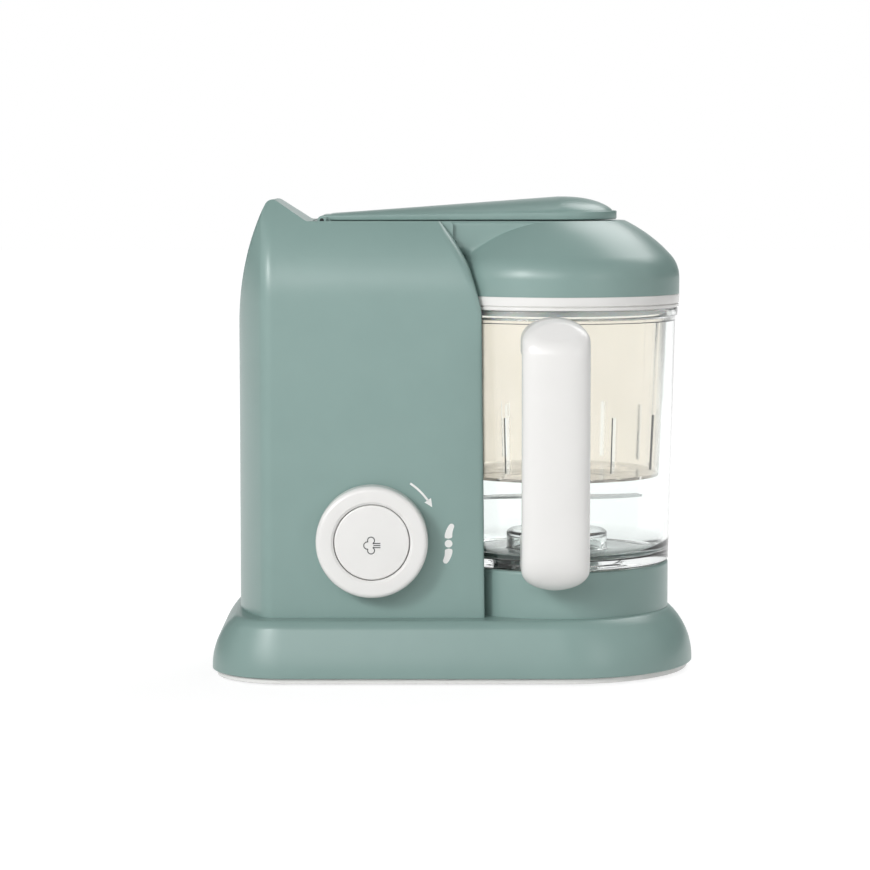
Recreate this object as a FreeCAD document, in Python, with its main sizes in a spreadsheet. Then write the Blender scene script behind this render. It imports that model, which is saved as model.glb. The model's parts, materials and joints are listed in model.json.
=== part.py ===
"""Baby food maker: a tower with a boiler, a bowl on a driven pedestal, a hinged lid and its locking arm.

Millimetres, +Z up, +X to the bowl, -Y to the user. The origin is under the middle of the machine.
"""
import FreeCAD, Part
import Sketcher
import os
import re

SIZES = {
    # Base
    "base_radius": 81.4,
    "base_flare": 14.2,
    "base_corner": 44.0,
    "base_height": 37.6,
    "base_belly": 6.4,
    "base_wall": 2.6,
    "deck_lap": 6.0,
    "shoulder_step": 0.4,
    "plate_inset": 2.8,
    "plate_bottom": 1.4,
    "plate_thickness": 3.4,
    "vent_length": 30.0,
    "vent_width": 3.0,
    "vent_pitch": 7.0,
    "foot_radius": 8.0,
    "foot_span": 208.0,
    "foot_gauge": 92.0,
    "screw_radius": 1.6,
    "screw_head_radius": 3.2,
    "screw_head_height": 1.8,
    "screw_length": 16.0,
    "screw_span": 172.0,
    "screw_gauge": 116.0,
    "screw_fit": 0.1,
    "boss_wall": 2.4,
    "cut_room": 1.0,
    # Tower
    "tower_depth": 121.0,
    "tower_width": 115.8,
    "tower_gap": 0.7,
    "shoulder_drop": 45.0,
    "peak_rise": 12.8,
    "brow_drop": 5.85,
    "front_crown_ease": 12.2,
    "rear_crown_ease": 9.2,
    "tower_bulge": 17.6,
    "tower_wall": 2.6,
    "shoulder_radius": 57.0,
    "peak_round": 7.0,
    "peak_radius": 10.5,
    "peak_inset": 20.6,
    "ramp_run": 20.6,
    "recess_low_gap": 7.0,
    "recess_high_gap": 3.3,
    # Tray under the lid neck, with the water filler
    "tray_wall": 1.8,
    "tray_base": 2.6,
    "hinge_inset": 50.9,
    "hinge_sink": 0.3,
    "tray_fit": 0.2,
    "tray_lead": 5.5,
    "filler_room": 32.9,
    "filler_edge": 11.4,
    # Hinge
    "knuckle_radius": 2.6,
    "pin_radius": 1.2,
    "pin_fit": 0.06,
    "knuckle_gap": 0.4,
    "lug_width": 5.0,
    "lug_reach": 6.0,
    # Pedestal and motor
    "pedestal_height": 27.4,
    "pedestal_wall": 3.0,
    "pedestal_round": 1.6,
    "collar_radius": 25.0,
    "collar_wall": 3.0,
    "collar_rise": 6.0,
    "motor_radius": 30.0,
    "motor_room": 2.0,
    "motor_lift": 4.2,
    "motor_wall": 2.0,
    "motor_cap_thickness": 4.0,
    "mount_radius": 4.5,
    "mount_height": 5.0,
    "mount_circle": 22.0,
    "bearing_radius": 7.0,
    "bearing_overhang": 1.5,
    "shaft_radius": 3.0,
    "running_fit": 0.05,
    "air_gap": 1.0,
    "armature_radius": 19.5,
    "armature_drop": 28.0,
    "armature_height": 18.0,
    "commutator_radius": 8.0,
    "commutator_height": 7.0,
    "brush_size": 6.0,
    "brush_gap": 0.3,
    "brush_rise": 1.3,
    "fan_radius": 24.0,
    "fan_height": 6.0,
    "fan_disc": 1.5,
    "fan_hub_radius": 6.0,
    "fan_blade": 1.4,
    # Couplings and blade
    "coupling_radius": 8.0,
    "coupling_fit": 0.4,
    "coupling_rise": 9.0,
    "coupling_drop": 5.0,
    "socket_radius": 13.0,
    "socket_roof": 3.4,
    "blade_radius": 52.0,
    "blade_root": 8.0,
    "blade_tip": 7.0,
    "blade_sweep": 12.0,
    "blade_curve": 60.0,
    "blade_thickness": 1.4,
    "blade_hub_radius": 10.0,
    "blade_hub_height": 3.0,
    "blade_cap_radius": 8.5,
    "blade_cap_height": 10.0,
    "blade_gap": 0.4,
    "spindle_reach": 6.0,
    # Bowl
    "bowl_seat_gap": 0.3,
    "bowl_step": 0.2,
    "bowl_flare": 3.4,
    "bowl_height": 151.2,
    "bowl_wall": 2.8,
    "bowl_floor": 4.8,
    "bowl_round": 9.0,
    "bowl_chamfer": 1.5,
    "rim_height": 4.5,
    "rim_step": 1.3,
    "rim_wall": 2.7,
    "rim_chamfer": 1.0,
    "ledge_depth": 7.5,
    "well_radius": 27.0,
    "well_depth": 14.0,
    "hub_wall": 3.2,
    "boss_radius": 10.0,
    "boss_height": 12.0,
    "bush_radius": 6.0,
    "bush_flange": 1.5,
    "seal_height": 2.0,
    # Steam basket
    "basket_fit": 0.3,
    "flange_thickness": 3.0,
    "basket_top_gap": 5.2,
    "basket_low_gap": 6.0,
    "basket_lift": 52.7,
    "basket_wall": 1.6,
    "slot_width": 3.0,
    "slot_length": 30.0,
    "slot_start": 18.0,
    "window_height": 36.0,
    # Handle
    "handle_width": 39.0,
    "handle_thickness": 16.0,
    "handle_stand": 41.0,
    "handle_shift": 4.5,
    "handle_drop": 3.0,
    "handle_tail": 7.6,
    "handle_round": 11.0,
    "handle_end_round": 17.0,
    "handle_bow": 22.0,
    "handle_arm": 20.0,
    "skirt_gap": 2.0,
    "grip_round": 12.0,
    "handle_split": 8.0,
    "handle_fit": 0.15,
    # Lid
    "lid_gap": 0.3,
    "lid_step": 0.9,
    "dome_band": 9.3,
    "dome_height": 34.3,
    "ring_height": 7.9,
    "ring_bead": 1.9,
    "ring_groove": 0.5,
    "groove_depth": 1.5,
    "ring_width": 10.0,
    "gasket_width": 4.0,
    "gasket_depth": 3.6,
    "gasket_room": 2.4,
    "dome_shoulder": 20.0,
    "dome_rise": 43.0,
    "dome_wall": 2.6,
    "neck_half": 40.0,
    "neck_wall": 2.4,
    "neck_gap": 1.0,
    "neck_height": 15.2,
    "neck_start": 3.5,
    "seal_gap": 0.3,
    "tank_gasket_height": 2.2,
    "tank_gasket_width": 4.0,
    "duct_radius": 4.2,
    "duct_fit": 0.1,
    "duct_wall": 1.2,
    "duct_swell": 0.2,
    "steam_lead": 11.0,
    "nozzle_radius": 9.0,
    "nozzle_height": 10.0,
    # Arm
    "arm_half_right": 35.0,
    "arm_half_left": 30.0,
    "arm_gap": 0.4,
    "arm_edge_left": 3.4,
    "arm_edge_right": 5.0,
    "crown_inset": 2.5,
    "crown_height": 13.3,
    "crown_wall": 2.2,
    "crown_lead": 5.0,
    "crown_knee": 79.0,
    "crown_knee_drop": 3.1,
    "crown_front": 14.0,
    "crown_nose_round": 24.0,
    "crown_back_round": 420.0,
    "crown_arch_rise": 10.42,
    # Knob and button
    "knob_radius": 32.5,
    "knob_inset": 80.3,
    "knob_lift": 45.9,
    "knob_height": 16.0,
    "knob_round": 3.0,
    "knob_gap": 1.0,
    "knob_back": 4.0,
    "groove_width": 0.9,
    "button_radius": 21.7,
    "button_set_back": 0.8,
    "button_thickness": 7.2,
    "button_round": 1.0,
    "button_stem_radius": 4.0,
    "button_stem_fit": 0.08,
    "stem_radius": 9.0,
    "stem_length": 16.0,
    "bush_wall": 2.5,
    "bush_length": 14.0,
    "bush_collar": 4.5,
    "collar_thickness": 2.6,
    "switch_width": 40.0,
    "switch_depth": 22.0,
    "stem_room": 2.0,
    "press_room": 8.0,
    "board_width": 40.0,
    "board_height": 34.0,
    "board_thickness": 1.6,
    # Water tank, boiler and cord gland
    "tank_half": 40.0,
    "tank_inset": 16.4,
    "tank_gap": 6.4,
    "tank_height": 113.4,
    "tank_wall": 2.0,
    "tank_round": 8.0,
    "seal_thickness": 2.0,
    "seal_width": 3.0,
    "boiler_radius": 34.0,
    "boiler_thickness": 6.0,
    "element_circle": 25.0,
    "element_radius": 3.2,
    "thermostat_radius": 9.0,
    "thermostat_height": 7.0,
    "lid_switch_length": 20.0,
    "lid_switch_width": 6.4,
    "lid_switch_height": 10.0,
    "gland_bore": 3.8,
    "gland_inset": 56.4,
    "gland_lift": 18.4,
    "gland_radius": 7.0,
    "gland_flange": 3.0,
    "gland_lip": 2.5,
}

# Lengths that follow from the sizes
DERIVED = {
    "deck_radius": "base_radius - base_flare",
    "recess_low_radius": "deck_radius + recess_low_gap",
    "recess_high_radius": "lid_radius + recess_high_gap",
    "base_length": "base_flare + shoulder_step + tower_width + recess_low_radius + base_radius",
    "base_left": "-base_length / 2",
    "bowl_x": "base_length / 2 - base_radius",
    "bowl_y": "(handle_reach - base_radius) / 2",
    "tower_left": "base_left + base_flare + shoulder_step",
    "tower_front": "bowl_y - tower_depth / 2",
    "tower_back": "bowl_y + tower_depth / 2",
    "bowl_bottom_radius": "deck_radius - bowl_step",
    "bowl_top_radius": "bowl_bottom_radius + bowl_flare",
    "rim_radius": "bowl_top_radius + rim_step",
    "lid_radius": "rim_radius + lid_step",
    "basket_top_radius": "bowl_top_radius - basket_top_gap",
    "basket_bottom_radius": "bowl_bottom_radius - basket_low_gap",
    "handle_reach": "bowl_bottom_radius + handle_stand",
    "handle_x": "bowl_x - handle_shift",
    "plate_top": "plate_bottom + plate_thickness",
    "deck_under": "base_height - base_wall",
    "pedestal_top": "base_height + pedestal_height",
    "bowl_bottom": "pedestal_top + bowl_seat_gap",
    "bowl_top": "bowl_bottom + bowl_height",
    "ledge": "bowl_top - ledge_depth",
    "rim_under": "bowl_top - rim_height - rim_chamfer",
    "well_top": "bowl_bottom + well_depth",
    "hub_top": "well_top + hub_wall",
    "boss_top": "hub_top + boss_height",
    "basket_floor": "bowl_bottom + basket_lift",
    "handle_top": "bowl_top - handle_drop",
    "handle_bottom": "pedestal_top - handle_tail",
    "ring_bottom": "bowl_top + lid_gap",
    "ring_top": "ring_bottom + ring_height",
    "dome_spring": "ring_top + dome_band",
    "dome_flat": "dome_spring + dome_height",
    "arm_bottom": "dome_flat + arm_gap",
    "crown_top": "arm_bottom + crown_height",
    "crown_arch_radius": "(arm_half_right ^ 2 + crown_arch_rise ^ 2) / (2 * crown_arch_rise)",
    "neck_top": "arm_bottom - neck_gap",
    "neck_bottom": "neck_top - neck_height",
    "tray_floor": "neck_bottom - tank_gasket_height - seal_gap",
    "tray_under": "tray_floor - tray_base",
    "tray_half": "neck_half + 2 * knuckle_gap",
    "tower_top": "arm_bottom - tower_gap",
    "peak_height": "tower_top + peak_rise",
    "shoulder_height": "tower_top - shoulder_drop",
    "crown_rise": "peak_height + peak_round - shoulder_height",
    "front_crown_radius": "crown_rise + front_crown_ease",
    "rear_crown_radius": "crown_rise + rear_crown_ease",
    "brow_run": "peak_inset - peak_round",
    "brow_rise": "peak_height - brow_drop - shoulder_height",
    "side_crown_radius": "(brow_run ^ 2 + brow_rise ^ 2) / (2 * brow_run)",
    "hinge_x": "tower_left + hinge_inset",
    "hinge_z": "arm_bottom - hinge_sink",
    "lug_inner": "arm_half_left + 2 * knuckle_gap",
    "lug_outer": "lug_inner + lug_width",
    "tray_left": "hinge_x - tray_lead",
    "steam_x": "hinge_x + steam_lead",
    "filler_radius": "(tower_width - hinge_inset - filler_room) / 2",
    "filler_x": "bowl_x - recess_low_radius - filler_edge - filler_radius",
    "tank_left": "tower_left + tank_inset",
    "tank_right": "bowl_x - recess_low_radius - tank_gap",
    "tank_top": "tray_under - seal_thickness",
    "tank_bottom": "tank_top - tank_height",
    "boiler_x": "(tank_left + tank_right) / 2",
    "knob_x": "tower_left + knob_inset",
    "knob_z": "base_height + knob_lift",
    "gland_x": "tower_left + gland_inset",
    "gland_z": "base_height + gland_lift",
    "motor_bottom": "plate_top + motor_lift",
    "motor_cap_bottom": "pedestal_top - pedestal_wall - mount_height - motor_cap_thickness",
    "armature_bottom": "motor_cap_bottom - armature_drop",
}

doc = FreeCAD.newDocument("baby_food_maker")
sheet = doc.addObject("Spreadsheet::Sheet", "Sizes")
for row, (alias, number) in enumerate(SIZES.items(), 1):
    sheet.set(f"A{row}", alias)
    sheet.set(f"B{row}", str(number))
    sheet.setAlias(f"B{row}", alias)
doc.recompute()

pieces = []


def bound(expression):
    """Spell the names in an expression as cells of the sheet, a derived length by what it follows from."""
    def spell(word):
        if word[0] in DERIVED:
            return f"({bound(DERIVED[word[0]])})"
        return f"Sizes.{word[0]}" if word[0] in SIZES else word[0]

    return re.sub(r"[a-z_]+", spell, expression)


def value(expression):
    """The number that an expression of sizes comes to."""
    return float(sheet.evalExpression(bound(expression)))


def piece(label, thing):
    """Name a finished sub-part."""
    thing.Label = label
    pieces.append(thing)
    return thing


def place(thing, x="0", y="0", z="0"):
    """Bind the place of a body or primitive."""
    for axis, where in zip("xyz", (x, y, z)):
        thing.setExpression(f"Placement.Base.{axis}", bound(where))
    return thing


def draw(sketch, corners):
    """Close an outline, counterclockwise, whose corners are pairs of expressions.

    A third expression makes the side that leaves the corner an arc of that radius. The arc bulges
    outwards, or inwards where its expression starts with a minus sign.
    """
    spots = [FreeCAD.Vector(value(corner[0]), value(corner[1]), 0) for corner in corners]
    ends = []
    for index, corner in enumerate(corners):
        start = spots[index]
        end = spots[(index + 1) % len(spots)]
        if len(corner) == 2:
            sketch.addGeometry(Part.LineSegment(start, end))
            ends.append((1, 2))
            continue
        inward = corner[2].startswith("-")
        first, last = (end, start) if inward else (start, end)
        radius = value(corner[2].lstrip("-"))
        half = (last - first) / 2
        lift = (radius ** 2 - half.Length ** 2) ** 0.5 / half.Length
        centre = first + half + FreeCAD.Vector(-half.y, half.x, 0) * lift
        circle = Part.Circle(centre, FreeCAD.Vector(0, 0, 1), radius)
        sketch.addGeometry(Part.ArcOfCircle(circle, circle.parameter(first), circle.parameter(last)))
        ends.append((2, 1) if inward else (1, 2))
    for index, corner in enumerate(corners):
        following = (index + 1) % len(corners)
        sketch.addConstraint(
            Sketcher.Constraint("Coincident", index, ends[index][1], following, ends[following][0]))
        for kind, reach, expression in (
                ("DistanceX", spots[index].x, corner[0]), ("DistanceY", spots[index].y, corner[1])):
            rule = sketch.addConstraint(Sketcher.Constraint(kind, -1, 1, index, ends[index][0], reach))
            sketch.setExpression(f"Constraints[{rule}]", bound(expression))
        if len(corner) == 3:
            expression = corner[2].lstrip("-")
            rule = sketch.addConstraint(Sketcher.Constraint("Radius", index, value(expression)))
            sketch.setExpression(f"Constraints[{rule}]", bound(expression))


def outline(body, role, corners, start="0"):
    """Draw an outline on one of a body's own planes, moved along its normal."""
    sketch = body.newObject("Sketcher::SketchObject", "outline")
    plane = next(item for item in body.Origin.OriginFeatures if item.Role == role)
    sketch.AttachmentSupport = [(plane, "")]
    sketch.MapMode = "FlatFace"
    sketch.setExpression("AttachmentOffset.Base.z", bound(start))
    draw(sketch, corners)
    return sketch


def new_body(name):
    """An empty body."""
    return doc.addObject("PartDesign::Body", name)


def add_slab(body, role, corners, low, high):
    """Pad an outline from low to high along the axis square to its plane."""
    start = f"-({high})" if role == "XZ_Plane" else low
    pad = body.newObject("PartDesign::Pad", "slab")
    pad.Profile = outline(body, role, corners, start)
    pad.setExpression("Length", bound(f"({high}) - ({low})"))
    body.Tip = pad
    return pad


def slab(name, role, corners, low, high):
    """A body that is one padded outline."""
    body = new_body(name)
    add_slab(body, role, corners, low, high)
    return body


def turned(name, corners, x="0", y="0", z="0", role="XZ_Plane"):
    """A body of revolution, its corners radius and height, or radius and depth on the XY plane."""
    body = new_body(name)
    sketch = outline(body, role, corners)
    turn = body.newObject("PartDesign::Revolution", "turn")
    turn.Profile = sketch
    turn.ReferenceAxis = (sketch, ["V_Axis"])
    turn.Angle = 360
    body.Tip = turn
    return place(body, x, y, z)


def pocket_round(body, role, corners, low, high, count):
    """Cut an outline out of a body, repeated evenly about its own axis."""
    start = f"-({low})" if role == "XZ_Plane" else high
    sketch = outline(body, role, corners, start)
    pocket = body.newObject("PartDesign::Pocket", "pocket")
    pocket.Profile = sketch
    pocket.setExpression("Length", bound(f"({high}) - ({low})"))
    repeat_round(body, pocket, count)


def repeat_round(body, feature, count):
    """Repeat a feature evenly about the body's upright axis."""
    axis = next(item for item in body.Origin.OriginFeatures if item.Role == "Z_Axis")
    pattern = body.newObject("PartDesign::PolarPattern", "round")
    pattern.Originals = [feature]
    pattern.Axis = (axis, [""])
    pattern.Angle = 360
    pattern.Occurrences = count
    body.Tip = pattern


def box(name, low, high):
    """An upright box between two corners."""
    block = doc.addObject("Part::Box", name)
    for side, near, far in zip(("Length", "Width", "Height"), low, high):
        block.setExpression(side, bound(f"({far}) - ({near})"))
    return place(block, *low)


def rod(name, radius, low, high, x="0", y="0", along="z"):
    """A cylinder along Z at (x, y), along Y at x and height y, or along X at depth x and height y."""
    cylinder = doc.addObject("Part::Cylinder", name)
    cylinder.setExpression("Radius", bound(radius))
    cylinder.setExpression("Height", bound(f"({high}) - ({low})"))
    if along == "z":
        return place(cylinder, x, y, low)
    if along == "x":
        cylinder.Placement.Rotation = FreeCAD.Rotation(FreeCAD.Vector(0, 1, 0), 90)
        return place(cylinder, low, x, y)
    cylinder.Placement.Rotation = FreeCAD.Rotation(FreeCAD.Vector(1, 0, 0), -90)
    return place(cylinder, x, low, y)


def cone(name, low_radius, high_radius, low, high, x, y):
    """An upright cone frustum."""
    frustum = doc.addObject("Part::Cone", name)
    frustum.setExpression("Radius1", bound(low_radius))
    frustum.setExpression("Radius2", bound(high_radius))
    frustum.setExpression("Height", bound(f"({high}) - ({low})"))
    return place(frustum, x, y, low)


def together(kind, name, things):
    """A boolean or a group of several things."""
    result = doc.addObject(kind, name)
    if kind == "Part::Compound":
        result.Links = things
    else:
        result.Shapes = things
    return result


def common(name, *things):
    """What several solids share."""
    return together("Part::MultiCommon", name, list(things))


def fused(name, *things):
    """Several solids made one."""
    return together("Part::MultiFuse", name, list(things))


def grouped(name, *things):
    """Several separate solids kept as one sub-part."""
    return together("Part::Compound", name, list(things))


def cut(name, base, *tools):
    """A solid less its tools."""
    result = doc.addObject("Part::Cut", name)
    result.Base = base
    result.Tool = tools[0] if len(tools) == 1 else fused(name + "_tools", *tools)
    return result


at_bowl = {"x": "bowl_x", "y": "bowl_y"}


def across(offset):
    """A depth measured back from the bowl's axis."""
    return f"(bowl_y + ({offset}))"


def corner_spots(span, gauge):
    """Four places, even about the middle in X and about the bowl's axis in Y."""
    return [(f"({x} * {span} / 2)", across(f"{y} * {gauge} / 2")) for x in (-1, 1) for y in (-1, 1)]


def base_outline(inset):
    """The base from above: round about the bowl at the right, with round corners at the left."""
    end = f"(base_radius - ({inset}))"
    front = across(f"-{end}")
    back = across(end)
    left = f"(base_left + ({inset}))"
    corner = f"(base_corner - ({inset}))"
    return [
        ("0", front), ("bowl_x", front, end), (f"bowl_x + {end}", "bowl_y", end),
        ("bowl_x", back), (f"{left} + {corner}", back, corner), (left, f"{back} - {corner}"),
        (left, f"{front} + {corner}", corner), (f"{left} + {corner}", front),
    ]


def make_base():
    """The flared plinth, its white bottom plate, the feet and the screws between them."""
    flank = "((base_flare ^ 2 + (base_height - base_belly) ^ 2) / (2 * base_flare))"
    inner_flank = f"({flank} - base_wall)"
    inner_rise = "(deck_under - base_belly)"
    inner_run = f"({inner_flank} - sqrt({inner_flank} ^ 2 - {inner_rise} ^ 2))"
    front = across("-deck_radius")
    skirt = [
        (f"{front} - base_flare", "plate_top"), (f"{front} - base_flare + base_wall", "plate_top"),
        (f"{front} - base_flare + base_wall", "base_belly", f"-{inner_flank}"),
        (f"{front} - base_flare + base_wall + {inner_run}", "deck_under"),
        (f"{front} + deck_lap", "deck_under"), (f"{front} + deck_lap", "base_height"),
        (front, "base_height", flank), (f"{front} - base_flare", "base_belly"),
    ]
    body = new_body("base_body")
    path = outline(body, "XY_Plane", base_outline("base_flare"))
    section = outline(body, "YZ_Plane", skirt)
    sweep = body.newObject("PartDesign::AdditivePipe", "skirt")
    sweep.Profile = section
    sweep.Spine = path
    body.Tip = sweep
    add_slab(body, "XY_Plane", base_outline("base_flare + deck_lap / 2"), "deck_under", "base_height")
    spots = corner_spots("screw_span", "screw_gauge")
    bosses = [rod("boss", "screw_radius + boss_wall", "plate_top", "deck_under", *spot) for spot in spots]
    bores = [rod("bore", "screw_radius + screw_fit", "plate_top", "deck_under", *spot) for spot in spots]
    motor_hole = rod(
        "motor_hole", "motor_radius + motor_room", "plate_top", "base_height + cut_room", **at_bowl)
    piece("base_shell", cut("base_shell", fused("base_with_bosses", body, *bosses), motor_hole, *bores))

    plate = new_body("plate_body")
    add_slab(plate, "XY_Plane", base_outline("plate_inset"), "plate_bottom", "plate_top")
    vent = [
        ("bowl_x - 3 * vent_pitch", across("-vent_length / 2")),
        ("bowl_x - 3 * vent_pitch + vent_width", across("-vent_length / 2")),
        ("bowl_x - 3 * vent_pitch + vent_width", across("vent_length / 2")),
        ("bowl_x - 3 * vent_pitch", across("vent_length / 2")),
    ]
    sketch = outline(plate, "XY_Plane", vent, "plate_top")
    slot = plate.newObject("PartDesign::Pocket", "vent")
    slot.Profile = sketch
    slot.setExpression("Length", bound("plate_thickness"))
    row = plate.newObject("PartDesign::LinearPattern", "vents")
    row.Originals = [slot]
    row.Direction = (sketch, ["H_Axis"])
    row.setExpression("Length", bound("6 * vent_pitch"))
    row.Occurrences = 7
    plate.Tip = row
    sink_top = "(plate_bottom + screw_head_height)"
    sinks = [
        rod("sink", "screw_head_radius + screw_fit", "plate_bottom", sink_top, *spot) for spot in spots]
    holes = [rod("hole", "screw_radius + screw_fit", "plate_bottom", "plate_top", *spot) for spot in spots]
    piece("base_plate", cut("base_plate", plate, *sinks, *holes))

    foot = [
        ("0", "0"), ("foot_radius - plate_bottom / 2", "0"), ("foot_radius", "plate_bottom / 2"),
        ("foot_radius", "plate_bottom"), ("0", "plate_bottom"),
    ]
    feet = [turned("foot", foot, *spot) for spot in corner_spots("foot_span", "foot_gauge")]
    piece("rubber_feet", grouped("rubber_feet", *feet))
    screw = [
        ("0", "0"), ("screw_head_radius", "0"), ("screw_head_radius", "screw_head_height"),
        ("screw_radius", "screw_head_height"), ("screw_radius", "screw_length"), ("0", "screw_length"),
    ]
    screws = [turned("screw", screw, *spot, "plate_bottom") for spot in spots]
    piece("base_screws", grouped("base_screws", *screws))


def tower_solid(name, inset, recess_inset):
    """The tower as the part shared by its front, side and plan outlines, less the recess for the bowl."""
    left = f"(tower_left + {inset})"
    right = f"(bowl_x + {inset})"
    floor = f"(base_height - {inset})"
    crest = f"(peak_height - {inset})"
    top = f"(tower_top - {inset})"
    side = f"(side_crown_radius - {inset})"
    peak_x = "(tower_left + peak_inset)"
    brow_x = f"({peak_x} - peak_round)"
    brow_z = f"(shoulder_height + sqrt({side} ^ 2 - ({side} - {brow_x} + {left}) ^ 2))"
    lip_x = f"(bowl_x - sqrt(recess_low_radius ^ 2 - (tower_depth / 2) ^ 2) - {inset})"
    shoulder = f"(shoulder_radius - {inset})"
    brow = f"({shoulder} - sqrt({shoulder} ^ 2 - ({top} - shoulder_height) ^ 2))"
    front_view = [
        (left, floor), (lip_x, floor), (lip_x, "shoulder_height", shoulder),
        (f"{lip_x} - {brow}", top), (f"{peak_x} + ramp_run", top),
        (peak_x, crest, "peak_radius"), (brow_x, brow_z, side), (left, "shoulder_height"),
    ]
    front = f"(tower_front + {inset})"
    back = f"(tower_back - {inset})"
    front_crown = f"(front_crown_radius - {inset})"
    rear_crown = f"(rear_crown_radius - {inset})"
    rise = f"({crest} + peak_round - shoulder_height)"
    front_run = f"({front_crown} - sqrt({front_crown} ^ 2 - {rise} ^ 2))"
    rear_run = f"({rear_crown} - sqrt({rear_crown} ^ 2 - {rise} ^ 2))"
    side_view = [
        (front, floor), (back, floor), (back, "shoulder_height", rear_crown),
        (f"{back} - {rear_run}", f"{crest} + peak_round"),
        (f"{front} + {front_run}", f"{crest} + peak_round", front_crown), (front, "shoulder_height"),
    ]
    bulge = "(tower_bulge / 2 + tower_depth ^ 2 / (8 * tower_bulge))"
    crease = f"({left} + {bulge} - {inset} - sqrt(({bulge} - {inset}) ^ 2 - ({back} - bowl_y) ^ 2))"
    plan = [
        (crease, front), (right, front), (right, back), (crease, back, f"({bulge} - {inset})"),
        (left, "bowl_y", f"({bulge} - {inset})"),
    ]
    shared = common(
        name + "_block",
        slab(name + "_front_view", "XZ_Plane", front_view, "tower_front", "tower_back"),
        slab(name + "_side_view", "YZ_Plane", side_view, "tower_left", "bowl_x"),
        slab(name + "_plan", "XY_Plane", plan, floor, "peak_height + peak_round"))
    recess = cone(
        name + "_recess", f"recess_low_radius + {recess_inset}", f"recess_high_radius + {recess_inset}",
        floor, "peak_height + peak_round", **at_bowl)
    return cut(name, shared, recess)


def make_tower():
    """The tower's front and rear shells, and the tray that the lid's neck lies in."""
    outer = tower_solid("tower_outer", "0", "0")
    inner = tower_solid("tower_inner", "tower_wall", "tower_wall")
    half = "(tray_half + tray_wall)"
    above = "peak_height + peak_round"
    opening = box(
        "tray_opening", ("tray_left - tray_fit", across(f"-{half} - tray_fit"), "tray_under"),
        ("bowl_x", across(f"{half} + tray_fit"), above))
    knob_hole = rod(
        "knob_hole", "stem_radius + bush_wall", "tower_front - cut_room",
        "tower_front + tower_wall + cut_room",
        "knob_x", "knob_z", along="y")
    gland_hole = rod(
        "gland_hole", "gland_radius", "tower_back - tower_wall - cut_room", "tower_back + cut_room",
        "gland_x", "gland_z", along="y")
    shell = cut("tower_shell", outer, inner, opening, knob_hole, gland_hole)
    front_half = box(
        "front_half", ("tower_left", "tower_front", "base_height"), ("bowl_x", "bowl_y", above))
    rear_half = box("rear_half", ("tower_left", "bowl_y", "base_height"), ("bowl_x", "tower_back", above))
    piece("tower_front_shell", common("tower_front_shell", shell, front_half))
    piece("tower_rear_shell", common("tower_rear_shell", shell, rear_half))

    trough = cut(
        "trough",
        box("tray_block", ("tray_left", across(f"-{half}"), "tray_under"),
            ("bowl_x", across(half), "tower_top - tray_fit")),
        box("tray_space", ("tray_left + tray_wall", across("-tray_half"), "tray_floor"),
            ("bowl_x + cut_room", across("tray_half"), "tower_top")))
    ears = []
    ear_inner = "(lug_outer + knuckle_gap)"
    for side, near, far in (("front", f"-{half}", f"-{ear_inner}"), ("back", ear_inner, half)):
        post = box(
            f"{side}_ear_post", ("hinge_x - knuckle_radius", across(near), "tray_under"),
            ("hinge_x + knuckle_radius", across(far), "hinge_z"))
        knuckle = rod(
            f"{side}_ear_knuckle", "knuckle_radius", across(near), across(far), "hinge_x", "hinge_z",
            along="y")
        ears += [post, knuckle]
    pin_hole = rod(
        "pin_hole", "pin_radius", across(f"-{half}"), across(half), "hinge_x", "hinge_z", along="y")
    filler = rod(
        "filler", "filler_radius", "tray_under - cut_room", "tray_floor + cut_room", "filler_x", "bowl_y")
    steam_hole = rod(
        "steam_hole", "duct_radius + duct_fit", "tray_under - cut_room", "tray_floor + cut_room",
        "steam_x", "bowl_y")
    fitted = common("fitted_trough", trough, outer)
    tray = fused("tray_with_ears", fitted, *ears)
    piece("tower_tray", cut("tower_tray", tray, pin_hole, filler, steam_hole))
    piece("hinge_pin", rod(
        "hinge_pin", "pin_radius", across(f"-{half}"), across(half), "hinge_x", "hinge_z", along="y"))


def ring(inner, outer, low, high):
    """The section of a plain ring."""
    return [(inner, low), (outer, low), (outer, high), (inner, high)]


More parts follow.
